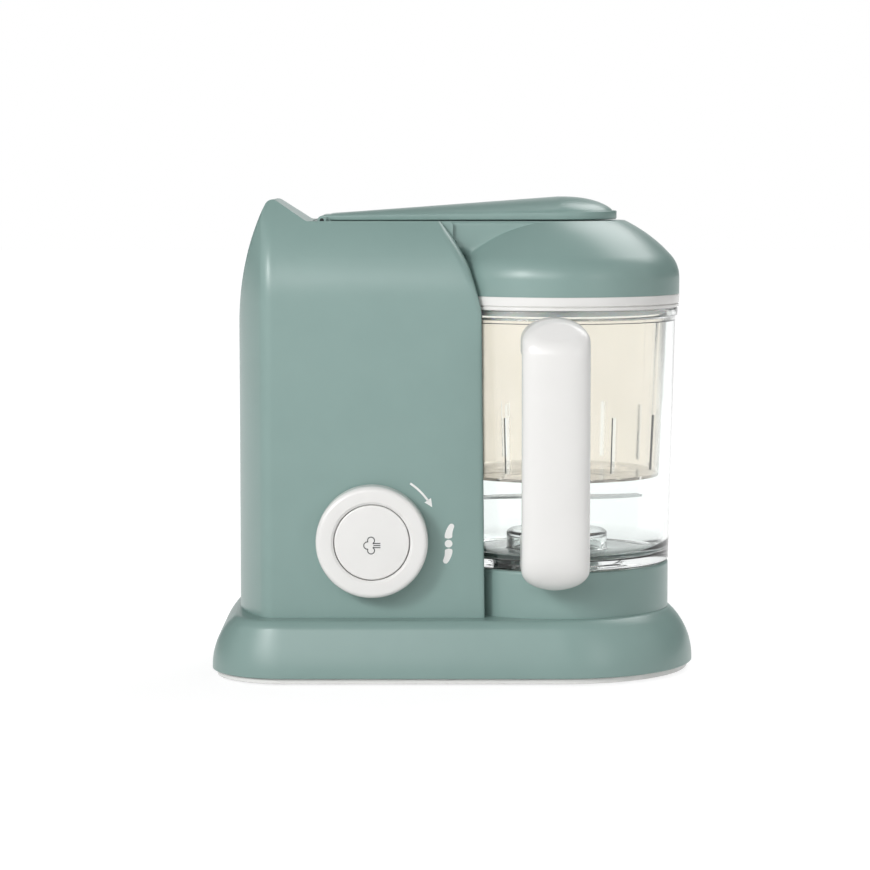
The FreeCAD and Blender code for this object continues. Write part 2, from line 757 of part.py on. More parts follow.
def make_pedestal_and_motor():
    """The round pedestal under the bowl and the motor that hangs from its top."""
    radius = "(deck_radius - shoulder_step)"
    under = "(pedestal_top - pedestal_wall)"
    collar_inner = "(collar_radius - collar_wall)"
    pedestal = [
        (f"{radius} - pedestal_wall", "base_height"), (radius, "base_height"),
        (radius, "pedestal_top - pedestal_round", "pedestal_round"),
        (f"{radius} - pedestal_round", "pedestal_top"), ("collar_radius", "pedestal_top"),
        ("collar_radius", "pedestal_top + collar_rise"), (collar_inner, "pedestal_top + collar_rise"),
        (collar_inner, under), (f"{radius} - pedestal_wall", under),
    ]
    piece("bowl_pedestal", turned("bowl_pedestal", pedestal, **at_bowl))

    cap_top = "(motor_cap_bottom + motor_cap_thickness)"
    inside = "(motor_radius - motor_wall)"
    can = [
        ("bearing_radius", "motor_bottom"), ("motor_radius", "motor_bottom"),
        ("motor_radius", "motor_cap_bottom"), (inside, "motor_cap_bottom"),
        (inside, "motor_bottom + motor_wall"), ("bearing_radius", "motor_bottom + motor_wall"),
    ]
    piece("motor_can", turned("motor_can", can, **at_bowl))
    cap = ring("bearing_radius", "motor_radius", "motor_cap_bottom", cap_top)
    piece("motor_cap", turned("motor_cap", cap, **at_bowl))
    spot = [
        ("mount_circle + mount_radius", "0", "mount_radius"),
        ("mount_circle", "mount_radius", "mount_radius"),
        ("mount_circle - mount_radius", "0", "mount_radius"),
        ("mount_circle", "-mount_radius", "mount_radius"),
    ]
    mounts = [slab("mount", "XY_Plane", spot, cap_top, under) for _ in range(4)]
    for turn, mount in enumerate(mounts):
        mount.Placement.Rotation = FreeCAD.Rotation(FreeCAD.Vector(0, 0, 1), 90 * turn)
        place(mount, **at_bowl)
    piece("motor_mounts", grouped("motor_mounts", *mounts))
    armature_top = "(armature_bottom + armature_height)"
    stator = ring("armature_radius + air_gap", inside, "armature_bottom", armature_top)
    piece("motor_stator", turned("motor_stator", stator, **at_bowl))
    journal = "(shaft_radius + running_fit)"
    for name, low, high in (
            ("lower_bearing", "motor_bottom - bearing_overhang",
             "motor_bottom + motor_wall + bearing_overhang"),
            ("upper_bearing", "motor_cap_bottom - bearing_overhang", f"{cap_top} + bearing_overhang")):
        piece(name, turned(name, ring(journal, "bearing_radius", low, high), **at_bowl))
    brush_low = f"({armature_top} + brush_rise)"
    brush_end = "sqrt((motor_radius - motor_wall) ^ 2 - (brush_size / 2) ^ 2)"
    brushes = []
    for near, far in ((f"-{brush_end}", "-commutator_radius - brush_gap"),
                      ("commutator_radius + brush_gap", brush_end)):
        brushes.append(box(
            "brush", (f"bowl_x + ({near})", across("-brush_size / 2"), brush_low),
            (f"bowl_x + ({far})", across("brush_size / 2"), f"{brush_low} + brush_size")))
    piece("carbon_brushes", grouped("carbon_brushes", *brushes))


def make_drive():
    """Everything that spins: the rotor, the two halves of the coupling and the blade."""
    armature_top = "(armature_bottom + armature_height)"
    armature = [
        ("shaft_radius", "armature_bottom"), ("armature_radius", "armature_bottom"),
        ("armature_radius", armature_top), ("commutator_radius", armature_top),
        ("commutator_radius", f"{armature_top} + commutator_height"),
        ("shaft_radius", f"{armature_top} + commutator_height"),
    ]
    piece("motor_armature", turned("motor_armature", armature, **at_bowl))
    shaft_top = "(pedestal_top + coupling_rise - coupling_drop / 2)"
    shaft = [("0", "motor_bottom - bearing_overhang"), ("shaft_radius", "motor_bottom - bearing_overhang"),
             ("shaft_radius", shaft_top), ("0", shaft_top)]
    piece("motor_shaft", turned("motor_shaft", shaft, **at_bowl))
    fan_low = "(armature_bottom - fan_height - air_gap)"
    fan = turned("cooling_fan", [
        ("shaft_radius", fan_low), ("fan_radius", fan_low), ("fan_radius", f"{fan_low} + fan_disc"),
        ("fan_hub_radius", f"{fan_low} + fan_disc"), ("fan_hub_radius", f"{fan_low} + fan_height"),
        ("shaft_radius", f"{fan_low} + fan_height"),
    ], **at_bowl)
    vane = [("fan_hub_radius - fan_blade", "-fan_blade / 2"), ("fan_radius", "-fan_blade / 2"),
            ("fan_radius", "fan_blade / 2"), ("fan_hub_radius - fan_blade", "fan_blade / 2")]
    repeat_round(fan, add_slab(fan, "XY_Plane", vane, fan_low, f"{fan_low} + fan_height"), 8)
    piece("cooling_fan", fan)

    coupling_top = "(pedestal_top + coupling_rise)"
    dog = doc.addObject("Part::Prism", "coupling_dog")
    dog.Polygon = 6
    dog.setExpression("Circumradius", bound("coupling_radius"))
    dog.setExpression("Height", bound("coupling_rise + coupling_drop"))
    place(dog, z="pedestal_top - coupling_drop", **at_bowl)
    shaft_bore = rod("coupling_bore", "shaft_radius", "pedestal_top - coupling_drop", shaft_top, **at_bowl)
    piece("drive_coupling", cut("drive_coupling", dog, shaft_bore))
    socket = doc.addObject("Part::Prism", "coupling_socket")
    socket.Polygon = 6
    socket.setExpression("Circumradius", bound("coupling_radius + coupling_fit"))
    socket.setExpression("Height", bound("coupling_rise + coupling_fit"))
    place(socket, z="pedestal_top", **at_bowl)
    roof = f"({coupling_top} + coupling_fit)"
    cup = rod(
        "coupling_cup", "socket_radius", "bowl_bottom + bowl_seat_gap", f"{roof} + socket_roof",
        **at_bowl)
    spindle_bore = rod("spindle_bore", "shaft_radius", roof, f"{roof} + socket_roof", **at_bowl)
    piece("blade_coupling", cut("blade_coupling", cup, socket, spindle_bore))

    hub_low = "(boss_top + bush_flange + seal_height + blade_gap)"
    blade_low = f"({hub_low} + blade_hub_height)"
    blade_high = f"({blade_low} + blade_thickness)"
    spindle_top = f"({blade_high} + spindle_reach)"
    piece("blade_shaft", rod("blade_shaft", "shaft_radius", roof, spindle_top, **at_bowl))
    hub = ring("shaft_radius", "blade_hub_radius", hub_low, blade_low)
    piece("blade_hub", turned("blade_hub", hub, **at_bowl))
    wings = [
        ("blade_root", "-blade_root", "blade_curve"), ("blade_radius", "blade_sweep - blade_tip"),
        ("blade_radius - blade_tip / 2", "blade_sweep", "-blade_curve"), ("blade_root", "blade_root"),
        ("-blade_root", "blade_root", "blade_curve"), ("-blade_radius", "blade_tip - blade_sweep"),
        ("blade_tip / 2 - blade_radius", "-blade_sweep", "-blade_curve"), ("-blade_root", "-blade_root"),
    ]
    blade = place(slab("blade_wings", "XY_Plane", wings, blade_low, blade_high), **at_bowl)
    blade_bore = rod(
        "blade_bore", "shaft_radius", f"{blade_low} - cut_room", f"{blade_high} + cut_room", **at_bowl)
    piece("blade", cut("blade", blade, blade_bore))
    cap_top = f"({blade_high} + blade_cap_height)"
    cap = [
        ("shaft_radius", blade_high), ("blade_cap_radius", blade_high),
        ("blade_cap_radius", f"{cap_top} - blade_cap_radius / 2", "blade_cap_radius / 2"),
        ("blade_cap_radius / 2", cap_top), ("0", cap_top), ("0", spindle_top),
        ("shaft_radius", spindle_top),
    ]
    piece("blade_cap", turned("blade_cap", cap, **at_bowl))


def make_bowl():
    """The clear bowl with its spindle bush and seal."""
    inner_top = "(bowl_top_radius - bowl_wall)"
    inner_low = "(bowl_bottom_radius - bowl_wall)"
    floor = "(bowl_bottom + bowl_floor)"
    hub = "(well_radius + hub_wall)"
    section = [
        ("bush_radius", "well_top"), ("well_radius", "well_top"), ("well_radius", "bowl_bottom"),
        ("bowl_bottom_radius - bowl_chamfer", "bowl_bottom"),
        ("bowl_bottom_radius", "bowl_bottom + bowl_chamfer"), ("bowl_top_radius", "rim_under"),
        ("rim_radius", "bowl_top - rim_height"), ("rim_radius", "bowl_top"),
        ("rim_radius - rim_wall", "bowl_top"), ("rim_radius - rim_wall", "ledge"), (inner_top, "ledge"),
        (inner_low, f"{floor} + bowl_round", "-bowl_round"), (f"{inner_low} - bowl_round", floor),
        (hub, floor), (hub, "hub_top"), ("boss_radius", "hub_top"), ("boss_radius", "boss_top"),
        ("bush_radius", "boss_top"),
    ]
    piece("bowl", turned("bowl", section, **at_bowl))
    journal = "(shaft_radius + running_fit)"
    flange_top = "(boss_top + bush_flange)"
    bush = [
        (journal, "well_top"), ("bush_radius", "well_top"), ("bush_radius", "boss_top"),
        ("boss_radius", "boss_top"), ("boss_radius", flange_top), (journal, flange_top),
    ]
    piece("bowl_bush", turned("bowl_bush", bush, **at_bowl))
    seal = ring(journal, "bush_radius", flange_top, f"{flange_top} + seal_height")
    piece("bowl_seal", turned("bowl_seal", seal, **at_bowl))


def make_basket():
    """The steam basket that hangs from the bowl's ledge, with slots in its floor and wall."""
    flange = "(rim_radius - rim_wall - basket_fit)"
    under = "(basket_floor - basket_wall)"
    section = [
        ("0", under), ("basket_bottom_radius", under), ("basket_top_radius", "ledge"), (flange, "ledge"),
        (flange, "ledge + flange_thickness"),
        ("basket_top_radius - basket_wall", "ledge + flange_thickness"),
        ("basket_bottom_radius - basket_wall", "basket_floor"), ("0", "basket_floor"),
    ]
    basket = turned("steam_basket", section, **at_bowl)
    slot = [
        ("slot_start", "-slot_width / 2"), ("slot_start + slot_length", "-slot_width / 2"),
        ("slot_start + slot_length", "slot_width / 2"), ("slot_start", "slot_width / 2"),
    ]
    pocket_round(basket, "XY_Plane", slot, under, "basket_floor", 16)
    window = [
        ("-slot_width / 2", "basket_floor + 2 * basket_wall"),
        ("slot_width / 2", "basket_floor + 2 * basket_wall"),
        ("slot_width / 2", "basket_floor + window_height"),
        ("-slot_width / 2", "basket_floor + window_height"),
    ]
    pocket_round(basket, "XZ_Plane", window, "basket_bottom_radius / 2", "rim_radius", 12)
    piece("steam_basket", basket)


def make_handle():
    """The white handle on the bowl, split into its back with the two arms and its front cover."""
    half = "(handle_width / 2)"
    front = "(-handle_reach)"
    grip = "(handle_thickness - handle_reach)"
    inside = "(bowl_wall + handle_shift - bowl_bottom_radius)"
    clear = "(-deck_radius - skirt_gap)"
    above = "handle_top"
    plan = [
        (f"-{half}", f"{front} + handle_round", "handle_round"), (f"-{half} + handle_round", front),
        (f"{half} - handle_round", front, "handle_round"), (half, f"{front} + handle_round"),
        (half, inside), (f"-{half}", inside),
    ]
    low_arm = "(bowl_bottom + bowl_chamfer)"
    side = [
        (front, "handle_bottom + handle_bow", "handle_bow"), (f"{front} + handle_bow", "handle_bottom"),
        (clear, "handle_bottom"), (clear, low_arm), (inside, low_arm), (inside, f"{low_arm} + handle_arm"),
        (f"{grip} + grip_round", f"{low_arm} + handle_arm", "-grip_round"),
        (grip, f"{low_arm} + handle_arm + grip_round"),
        (grip, f"{above} - handle_arm - grip_round", "-grip_round"),
        (f"{grip} + grip_round", f"{above} - handle_arm"), (inside, f"{above} - handle_arm"),
        (inside, above), (f"{front} + handle_bow", above, "handle_bow"), (front, f"{above} - handle_bow"),
    ]
    end = "handle_end_round"
    face = [
        (f"-{half}", f"handle_bottom + {end}", end), (f"-{half} + {end}", "handle_bottom"),
        (f"{half} - {end}", "handle_bottom", end), (half, f"handle_bottom + {end}"),
        (half, f"{above} - {end}", end), (f"{half} - {end}", above),
        (f"-{half} + {end}", above, end), (f"-{half}", f"{above} - {end}"),
    ]
    views = [
        slab("handle_plan", "XY_Plane", plan, "handle_bottom", above),
        slab("handle_side", "YZ_Plane", side, f"-{half}", half),
        slab("handle_face", "XZ_Plane", face, front, inside),
    ]
    for view in views:
        place(view, x="handle_x", y="bowl_y")
    bowl_skin = cone(
        "bowl_skin", "bowl_bottom_radius + handle_fit", "bowl_top_radius + handle_fit",
        "bowl_bottom + bowl_chamfer", "rim_under", **at_bowl)
    rim_skin = rod("rim_skin", "rim_radius + handle_fit", "rim_under", "handle_top + cut_room", **at_bowl)
    solid = cut("handle_solid", common("handle_block", *views), bowl_skin, rim_skin)
    split = f"({front} + handle_split)"
    low = (f"handle_x - {half}", across(front), "handle_bottom")
    cover_zone = box("cover_zone", low, (f"handle_x + {half}", across(split), above))
    back_zone = box(
        "back_zone", (f"handle_x - {half}", across(split), "handle_bottom"),
        (f"handle_x + {half}", across(inside), above))
    middle = "((bowl_bottom + handle_top) / 2)"
    screws = []
    sinks = []
    for height in (f"({middle} - handle_width)", f"({middle} + handle_width)"):
        spot = {"x": "handle_x", "y": height, "along": "y"}
        head_end = f"({grip} - screw_head_height)"
        tip = f"({front} + handle_split / 2)"
        shank = rod("handle_screw", "screw_radius", across(tip), across(head_end), **spot)
        head = rod("handle_screw_head", "screw_head_radius", across(head_end), across(grip), **spot)
        screws.append(fused("handle_screw_whole", shank, head))
        sinks.append(rod("handle_bore", "screw_radius + screw_fit", across(tip), across(grip), **spot))
        sinks.append(rod(
            "handle_sink", "screw_head_radius + screw_fit", across(head_end), across(f"{grip} + cut_room"),
            **spot))
    drilled = cut("handle_drilled", solid, *sinks)
    piece("bowl_handle", common("bowl_handle", drilled, back_zone))
    piece("handle_cover", common("handle_cover", drilled, cover_zone))
    piece("handle_screws", grouped("handle_screws", *screws))


def dome_section(inset):
    """The lid's dome, filled: an upright band, a tight shoulder, a flat crown and a level top."""
    crown = "(((lid_radius - dome_shoulder) ^ 2 + dome_rise ^ 2 - dome_shoulder ^ 2)" \
            " / (2 * (dome_rise - dome_shoulder)))"
    centre = f"(dome_spring + dome_rise - {crown})"
    share = f"(({crown} - {inset}) / ({crown} - dome_shoulder))"
    meet_radius = f"({share} * (lid_radius - dome_shoulder))"
    meet_height = f"({centre} + {share} * (dome_spring - {centre}))"
    flat = f"(dome_flat - {inset})"
    flat_radius = f"sqrt(({crown} - {inset}) ^ 2 - ({flat} - {centre}) ^ 2)"
    radius = f"(lid_radius - {inset})"
    return [
        ("0", "ring_top"), (radius, "ring_top"), (radius, "dome_spring", f"(dome_shoulder - {inset})"),
        (meet_radius, meet_height, f"({crown} - {inset})"), (flat_radius, flat), ("0", flat),
    ]


def neck_block(name, inset):
    """The lid's neck from the hinge to the bowl's axis, drawn in by an inset."""
    low = (f"hinge_x + neck_start + {inset}", across(f"{inset} - neck_half"), f"neck_bottom + {inset}")
    return box(name, low, ("bowl_x", across(f"neck_half - {inset}"), f"neck_top - {inset}"))


def make_lid():
    """The dome with its neck and hinge lugs, the white rim, the gaskets and the way for the steam."""
    lugs = []
    for near, far in (("-lug_outer", "-lug_inner"), ("lug_inner", "lug_outer")):
        lugs.append(rod("lug", "knuckle_radius", across(near), across(far), "hinge_x", "hinge_z", along="y"))
        lugs.append(box(
            "lug_web", ("hinge_x", across(near), "neck_top - neck_wall"),
            ("hinge_x + lug_reach", across(far), "hinge_z")))
    pin_way = rod(
        "lid_pin_way", "pin_radius + pin_fit", across("-neck_half"), across("neck_half"),
        "hinge_x", "hinge_z", along="y")
    inlet = rod(
        "inlet", "duct_radius + duct_fit", "neck_bottom", "neck_bottom + neck_wall", "steam_x", "bowl_y")
    outside = fused(
        "lid_outside", turned("dome_outside", dome_section("0"), **at_bowl),
        neck_block("neck_outside", "0"), *lugs)
    piece("lid_dome", cut(
        "lid_dome", outside, turned("dome_inside", dome_section("dome_wall"), **at_bowl),
        neck_block("neck_inside", "neck_wall"), pin_way, inlet))

    inner = "(lid_radius - ring_width)"
    groove = "(ring_bottom + ring_bead)"
    rim = [
        (inner, "ring_bottom"), ("lid_radius - ring_groove", "ring_bottom"),
        ("lid_radius - ring_groove", groove),
        ("lid_radius - groove_depth", groove), ("lid_radius - groove_depth", f"{groove} + ring_groove"),
        ("lid_radius", f"{groove} + ring_groove"), ("lid_radius", "ring_top"), (inner, "ring_top"),
    ]
    piece("lid_ring", turned("lid_ring", rim, **at_bowl))
    gasket_outer = "(rim_radius - rim_wall - gasket_room)"
    gasket = ring(
        f"{gasket_outer} - gasket_width", gasket_outer, "ring_bottom - gasket_depth", "ring_bottom")
    piece("lid_gasket", turned("lid_gasket", gasket, **at_bowl))
    stopper = ring(
        "filler_radius + seal_gap", "filler_radius + seal_gap + tank_gasket_width",
        "neck_bottom - tank_gasket_height", "neck_bottom")
    piece("tank_gasket", turned("tank_gasket", stopper, "filler_x", "bowl_y"))

    level = "((neck_bottom + neck_top) / 2)"
    outlet = f"({level} - 2 * duct_radius)"
    pipes = []
    for name, radius in (("duct", "duct_radius"), ("duct_bore", "(duct_radius - duct_wall)")):
        wide = f"({radius} + duct_swell)"
        pipes.append(fused(
            name,
            rod(name + "_rise", radius, "neck_bottom", level, "steam_x", "bowl_y"),
            rod(name + "_run", wide, f"steam_x - {wide}", f"bowl_x + {wide}", "bowl_y", level, along="x"),
            rod(name + "_fall", radius, outlet, level, **at_bowl)))
    piece("steam_duct", cut("steam_duct", *pipes))
    bore = "(duct_radius - duct_wall)"
    nozzle = [
        (bore, f"{outlet} - nozzle_height"), ("nozzle_radius / 2", f"{outlet} - nozzle_height"),
        ("nozzle_radius", f"{outlet} - nozzle_height / 2"), ("nozzle_radius", outlet), (bore, outlet),
    ]
    piece("steam_nozzle", turned("steam_nozzle", nozzle, **at_bowl))


def arm_plan(inset):
    """The arm from above: widening from the hinge to a round end about the bowl's axis."""
    wide = f"(arm_half_right - {inset})"
    narrow = f"(arm_half_left - {inset})"
    return [
        ("hinge_x", across(f"-{narrow}")), ("bowl_x", across(f"-{wide}"), wide),
        (f"bowl_x + {wide}", "bowl_y", wide), ("bowl_x", across(wide)), ("hinge_x", across(narrow)),
    ]


def crown_block(name, inset):
    """The arm's crown as the part shared by its plan, its long profile and its arched cross-section."""
    left = f"(hinge_x + crown_lead + {inset})"
    right = f"(bowl_x + arm_half_right - crown_inset - {inset})"
    arm_right = "(bowl_x + arm_half_right)"
    slope = f"((arm_edge_right - arm_edge_left) / ({arm_right} - hinge_x))"
    low_left = f"(arm_bottom + arm_edge_left + {slope} * ({left} - hinge_x) - {inset})"
    low_right = f"(arm_bottom + arm_edge_left + {slope} * ({right} - hinge_x) - {inset})"
    top = f"(crown_top - {inset})"
    profile = [
        (left, low_left), (right, low_right, f"(crown_nose_round - {inset})"),
        ("bowl_x + crown_front", top, f"(crown_back_round - {inset})"),
        ("hinge_x + crown_knee", f"{top} - crown_knee_drop"),
    ]
    arch = f"(crown_arch_radius - {inset})"
    half = "arm_half_right"
    eave = f"({top} - {arch} + sqrt({arch} ^ 2 - {half} ^ 2))"
    section = [
        (across(f"-{half}"), "arm_bottom"), (across(half), "arm_bottom"), (across(half), eave, arch),
        (across(f"-{half}"), eave),
    ]
    return common(
        name,
        slab(name + "_plan", "XY_Plane", arm_plan(f"(crown_inset + {inset})"), "arm_bottom", "crown_top"),
        slab(name + "_profile", "XZ_Plane", profile, across(f"-{half}"), across(half)),
        slab(name + "_section", "YZ_Plane", section, "hinge_x", arm_right))


def make_arm():
    """The locking arm over the lid: a flat plate with the hinge knuckle, and a hollow crown on it."""
    right = "bowl_x + arm_half_right"
    profile = [
        ("hinge_x", "arm_bottom"), (right, "arm_bottom"), (right, "arm_bottom + arm_edge_right"),
        ("hinge_x", "arm_bottom + arm_edge_left"),
    ]
    half = "arm_half_right"
    plate = common(
        "arm_flat", slab("arm_plan", "XY_Plane", arm_plan("0"), "arm_bottom", "crown_top"),
        slab("arm_profile", "XZ_Plane", profile, across(f"-{half}"), across(half)))
    knuckle = rod(
        "arm_knuckle", "knuckle_radius", across("-arm_half_left"), across("arm_half_left"),
        "hinge_x", "hinge_z", along="y")
    pin_way = rod(
        "arm_pin_way", "pin_radius + pin_fit", across(f"-{half}"), across(half), "hinge_x", "hinge_z",
        along="y")
    piece("arm_plate", cut("arm_plate", fused("arm_with_knuckle", plate, knuckle), pin_way))
    piece(
        "arm_cover", cut("arm_cover", crown_block("crown", "0"), crown_block("crown_hollow", "crown_wall")))


def make_knob():
    """The control knob, the button in its middle and the switch and board behind them."""
    at_knob = {"x": "knob_x", "y": "tower_front", "z": "knob_z", "role": "XY_Plane"}
    face = "(-knob_height)"
    cup = "(button_radius + groove_width)"
    floor = "(-knob_gap - knob_back)"
    bore = "(button_stem_radius + button_stem_fit)"
    knob = [
        (f"{cup} + groove_width", face), ("knob_radius - knob_round", face, "knob_round"),
        ("knob_radius", f"{face} + knob_round"), ("knob_radius", "-knob_gap"), ("stem_radius", "-knob_gap"),
        ("stem_radius", "stem_length"), (bore, "stem_length"), (bore, floor), (cup, floor),
        (cup, f"{face} + groove_width"),
    ]
    piece("knob_ring", turned("knob_ring", knob, **at_knob))
    front = f"({face} + button_set_back)"
    back = f"({front} + button_thickness)"
    stem_end = "(stem_length + stem_room)"
    button = [
        ("0", front), ("button_radius - button_round", front, "button_round"),
        ("button_radius", f"{front} + button_round"), ("button_radius", back), ("button_stem_radius", back),
        ("button_stem_radius", stem_end), ("0", stem_end),
    ]
    piece("steam_button", turned("steam_button", button, **at_knob))
    sleeve = "(stem_radius + running_fit)"
    outer = "(stem_radius + bush_wall)"
    bush = [
        (sleeve, "0"), (outer, "0"), (outer, "tower_wall"), (f"{outer} + bush_collar", "tower_wall"),
        (f"{outer} + bush_collar", "tower_wall + collar_thickness"),
        (outer, "tower_wall + collar_thickness"), (outer, "bush_length"),
        (sleeve, "bush_length"),
    ]
    piece("knob_bush", turned("knob_bush", bush, **at_knob))
    switch_front = "(tower_front + bush_length)"
    switch_back = f"({switch_front} + switch_depth)"
    block = box(
        "switch_block", ("knob_x - switch_width / 2", switch_front, "knob_z - switch_width / 2"),
        ("knob_x + switch_width / 2", switch_back, "knob_z + switch_width / 2"))
    stem_hole = rod(
        "stem_hole", f"{sleeve} + knuckle_gap", switch_front,
        "tower_front + stem_length + stem_room / 2",
        "knob_x", "knob_z", along="y")
    press_hole = rod(
        "press_hole", f"{bore} + knuckle_gap", switch_front, f"{switch_front} + stem_room + press_room",
        "knob_x", "knob_z", along="y")
    piece("rotary_switch", cut("rotary_switch", block, stem_hole, press_hole))
    piece("control_board", box(
        "control_board", ("knob_x - board_width / 2", switch_back, "knob_z - switch_width / 2"),
        ("knob_x + board_width / 2", f"{switch_back} + board_thickness",
         "knob_z - switch_width / 2 + board_height")))


def make_tank():
    """The water tank under the tray, with its seal, boiler, steam tube, lid switch and the cord gland."""

    def tank_outline(inset):
        left = f"(tank_left + {inset})"
        right = f"(tank_right - {inset})"
        front = across(f"{inset} - tank_half")
        back = across(f"tank_half - {inset}")
        corner = f"(tank_round - {inset})"
        return [
            (f"{left} + {corner}", front), (f"{right} - {corner}", front, corner),
            (right, f"{front} + {corner}"),
            (right, f"{back} - {corner}", corner), (f"{right} - {corner}", back),
            (f"{left} + {corner}", back, corner), (left, f"{back} - {corner}"),
            (left, f"{front} + {corner}", corner),
        ]

    roof = "(tank_top - tank_wall)"
    walls = slab("tank_walls", "XY_Plane", tank_outline("0"), "tank_bottom", roof)
    water = slab(
        "tank_water", "XY_Plane", tank_outline("tank_wall"), "tank_bottom + tank_wall", f"{roof} + cut_room")
    piece("water_tank", cut("water_tank", walls, water))
    cover = slab("tank_roof", "XY_Plane", tank_outline("0"), roof, "tank_top")
    mouth = rod(
        "tank_mouth", "filler_radius", f"{roof} - cut_room", "tank_top + cut_room", "filler_x", "bowl_y")
    bore = "(duct_radius - duct_wall)"
    vent = rod("tank_vent", bore, f"{roof} - cut_room", "tank_top + cut_room", "steam_x", "bowl_y")
    piece("tank_cover", cut("tank_cover", cover, mouth, vent))
    seal = ring("filler_radius", "filler_radius + seal_width", "tank_top", "tray_under")
    piece("tank_seal", turned("tank_seal", seal, "filler_x", "bowl_y"))
    tube = ring(bore, "duct_radius", "tank_top", "tray_floor")
    piece("steam_tube", turned("steam_tube", tube, "steam_x", "bowl_y"))
    boiler_low = "(tank_bottom - boiler_thickness)"
    piece(
        "boiler_plate", rod("boiler_plate", "boiler_radius", boiler_low, "tank_bottom", "boiler_x", "bowl_y"))
    element = doc.addObject("Part::Torus", "heating_element")
    element.setExpression("Radius1", bound("element_circle"))
    element.setExpression("Radius2", bound("element_radius"))
    piece("heating_element", place(element, "boiler_x", "bowl_y", f"{boiler_low} - element_radius"))
    piece("thermostat", rod(
        "thermostat", "thermostat_radius", f"{boiler_low} - thermostat_height", boiler_low, "boiler_x",
        "bowl_y"))
    piece("lid_switch", box(
        "lid_switch",
        ("tray_left - lid_switch_width", across("-lid_switch_length / 2"), "tray_under"),
        ("tray_left", across("lid_switch_length / 2"), "tray_under + lid_switch_height")))
    gland = [
        ("gland_bore", "-tower_wall - gland_lip"),
        ("gland_radius + gland_flange / 2", "-tower_wall - gland_lip"),
        ("gland_radius + gland_flange / 2", "-tower_wall"), ("gland_radius", "-tower_wall"),
        ("gland_radius", "0"),
        ("gland_radius + gland_flange", "0"), ("gland_radius + gland_flange / 2", "gland_lip"),
        ("gland_bore", "gland_lip"),
    ]
    piece("cord_gland", turned("cord_gland", gland, "gland_x", "tower_back", "gland_z", role="XY_Plane"))


def export():
    """Check every object and write each sub-part to its own file."""
    doc.recompute()
    failed = [item.Label for item in doc.Objects if {"Invalid", "Error"} & set(item.State)]
    failed += [item.Label for item in pieces if item.Shape.isNull() or not item.Shape.isValid()]
    if failed:
        raise RuntimeError(f"failed: {failed}")
    os.makedirs("parts", exist_ok=True)
    for item in pieces:
        item.Shape.exportStep(f"parts/{item.Label}.step")


make_base()
make_tower()
make_pedestal_and_motor()
make_drive()
make_bowl()
make_basket()
make_handle()
make_lid()
make_arm()
make_knob()
make_tank()
export()
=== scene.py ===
"""Visual model of a baby food maker: a steam tower, a clear blending bowl, a domed lid and its locking arm."""
import json
import math

import bmesh
import bpy
import numpy as np
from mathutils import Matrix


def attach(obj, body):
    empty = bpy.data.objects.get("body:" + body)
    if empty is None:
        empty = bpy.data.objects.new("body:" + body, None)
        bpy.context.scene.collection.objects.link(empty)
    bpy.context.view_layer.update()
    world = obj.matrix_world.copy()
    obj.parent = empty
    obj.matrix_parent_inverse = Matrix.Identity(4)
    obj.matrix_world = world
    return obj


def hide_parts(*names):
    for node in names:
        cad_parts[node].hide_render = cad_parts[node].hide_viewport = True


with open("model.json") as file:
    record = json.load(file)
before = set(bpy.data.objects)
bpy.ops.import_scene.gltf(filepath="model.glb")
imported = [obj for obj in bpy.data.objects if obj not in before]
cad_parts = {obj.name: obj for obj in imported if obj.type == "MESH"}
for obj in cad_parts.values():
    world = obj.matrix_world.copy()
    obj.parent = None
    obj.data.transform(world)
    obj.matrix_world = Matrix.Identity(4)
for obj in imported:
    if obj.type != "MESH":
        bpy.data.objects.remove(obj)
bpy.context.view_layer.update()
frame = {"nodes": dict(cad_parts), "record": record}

# Lengths are in millimetres until a mesh is made
MM = 0.001
BOWL_X, BOWL_Y = 61.6, 13.3
BASE_END, BASE_HALF, BASE_TOP = 143.0, 81.4, 37.6
TOWER_LEFT, TOWER_HALF, TOWER_TOP, CROWN_START = -128.4, 60.5, 268.0, 223.0
TOWER_FRONT = BOWL_Y - TOWER_HALF
TRAY_LEFT, TRAY_HALF, TRAY_UNDER = -83.2, 42.8, 247.4
HINGE_X, HINGE_Z, KNUCKLE = -77.5, 268.4, 2.6
LID_RADIUS, LID_TOP, NECK_UNDER = 72.6, 267.9, 252.5
RIM_INSIDE, RIM_UNDER, RIM_TOP = 62.6, 216.8, 224.7
DOME_RADIUS, DOME_MIDDLE, DOME_SPRING = 91.65, 185.35, 234.0
ARM_END = 96.6
KNOB_X, KNOB_Z, BUTTON_FACE = -48.1, 83.5, 15.2
# Ink reaches from just under a face to its own thickness above it
INK_LOW, INK_HIGH = -0.02, 0.1


def linear(code):
    """An sRGB hex colour as linear red, green, blue and alpha."""
    srgb = np.array([int(code[i:i + 2], 16) for i in (1, 3, 5)]) / 255
    light = np.where(srgb <= 0.04045, srgb / 12.92, ((srgb + 0.055) / 1.055) ** 2.4)
    return (*light.tolist(), 1.0)


def add(tree, kind, inputs=None, **settings):
    """Add a node, set its settings, and fill its inputs with values or with links from other sockets."""
    node = tree.nodes.new(kind)
    for name, value in settings.items():
        setattr(node, name, value)
    for socket, value in (inputs or {}).items():
        if isinstance(value, bpy.types.NodeSocket):
            tree.links.new(value, node.inputs[socket])
        else:
            node.inputs[socket].default_value = value
    return node


# Materials


